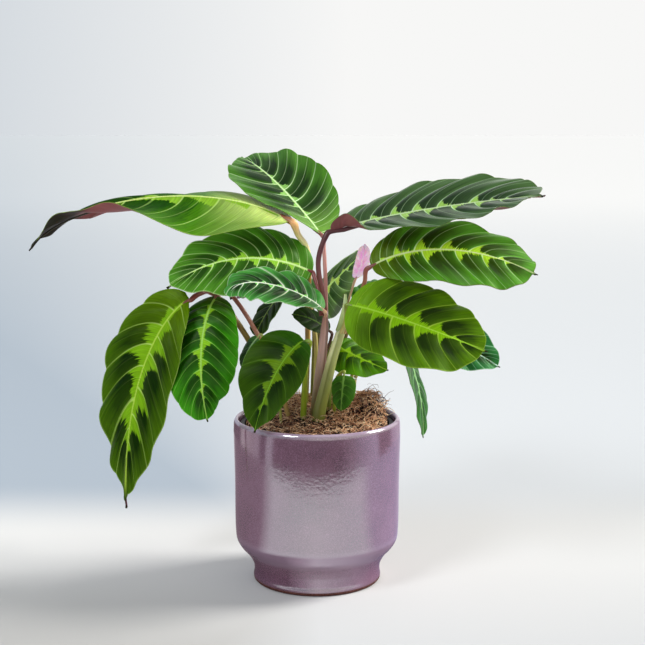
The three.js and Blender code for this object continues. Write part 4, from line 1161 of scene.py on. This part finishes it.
def studio_room():
    """Even light all round, brightest near the horizon and on the right, as from a large window."""
    world = bpy.data.worlds.new("studio")
    world.use_nodes = True
    tree = world.node_tree
    tree.nodes.clear()
    direction = add(tree, "TexCoord").outputs["Generated"]
    sideways, _, height = add(tree, "SeparateXYZ", {0: direction}).outputs
    strength = add(tree, "MapRange", {0: height, 1: 0.12, 2: 0.5, 3: 1.0, 4: 0.58})
    light = add(tree, "Background", {0: side_light_tint(tree, sideways), 1: strength})
    add(tree, "OutputWorld", {"Surface": light})
    bpy.context.scene.world = world


# How far from the pot's axis the rings of cards start, in mm, and their tones by the angle in degrees,
# counted from straight in front of the pot towards the right. The room's ring is centred behind the pot.
CREASE_CARDS = 61
NEAR_CARDS = 120
FAR_CARDS = 376
ROOM_CENTRE = 100
CARDS_HEIGHT = 0.8
CARDS_RADIUS = 3  # metres
# The dark stretches on the left of CREASE_TONES and FOOT_TONES are painted shadow: the table in the pot's
# shade, as the glaze mirrors it.
CREASE_TONES = [(-180, "#8a7a84"), (-110, "#4a3e42"), (-75, "#544850"), (-34, "#5c5058"), (-14, "#988c94"),
                (40, "#9a909e"), (75, "#7c7288"), (120, "#645c78"), (180, "#8a7a84")]
FOOT_TONES = [(-180, "#8a7a84"), (-120, "#6a5c64"), (-95, "#3c3034"), (-34, "#40343a"), (-16, "#a898a6"),
              (0, "#dcd6e0"), (40, "#b0a6b8"), (74, "#625a72"), (120, "#645c78"), (180, "#8a7a84")]
NEAR_TONES = [(-160, "#c8c4cc"), (-146, "#7a6a72"), (-120, "#75666e"), (-74, "#7f727c"), (-56, "#e2e6ec"),
              (0, "#f2f6fa"), (56, "#e4e8f2"), (74, "#b2aecc"), (125, "#a4a0c4"), (150, "#b8b0c8")]
FAR_TONES = [(-166, "#d4dce4"), (-158, "#54464c"), (-126, "#5a4c52"), (-118, "#c6babe"), (-96, "#a89ca2"),
             (-84, "#a89ea8"), (-77, "#403a40"), (-71, "#48404a"), (-68, "#b4b0ba"), (-61, "#a8a4b0"),
             (-56, "#342e32"), (-50, "#221e22"), (30, "#201c20"), (46, "#786c7a"), (62, "#9a92aa"),
             (84, "#b6aecc"), (92, "#5c4c5c"), (112, "#645464"), (122, "#b8a8c4"), (150, "#d0c4d8")]

floor()
room_cards()
studio_room()
add_light("window_light", "SUN", (1, 0.2, 0.8), (-0.88, -0.2, -0.62), 3.7, "#fffdfa", angle=math.radians(25))
add_light("front_fill", "AREA", (-2.1, -2.4, 2.6), (2.1, 2.4, -2.4), 62, "#f6f8ff", shape="RECTANGLE",
          size=1.2, size_y=1.2)
bpy.context.scene.view_settings.view_transform = "Standard"

bpy.context.view_layer.update()
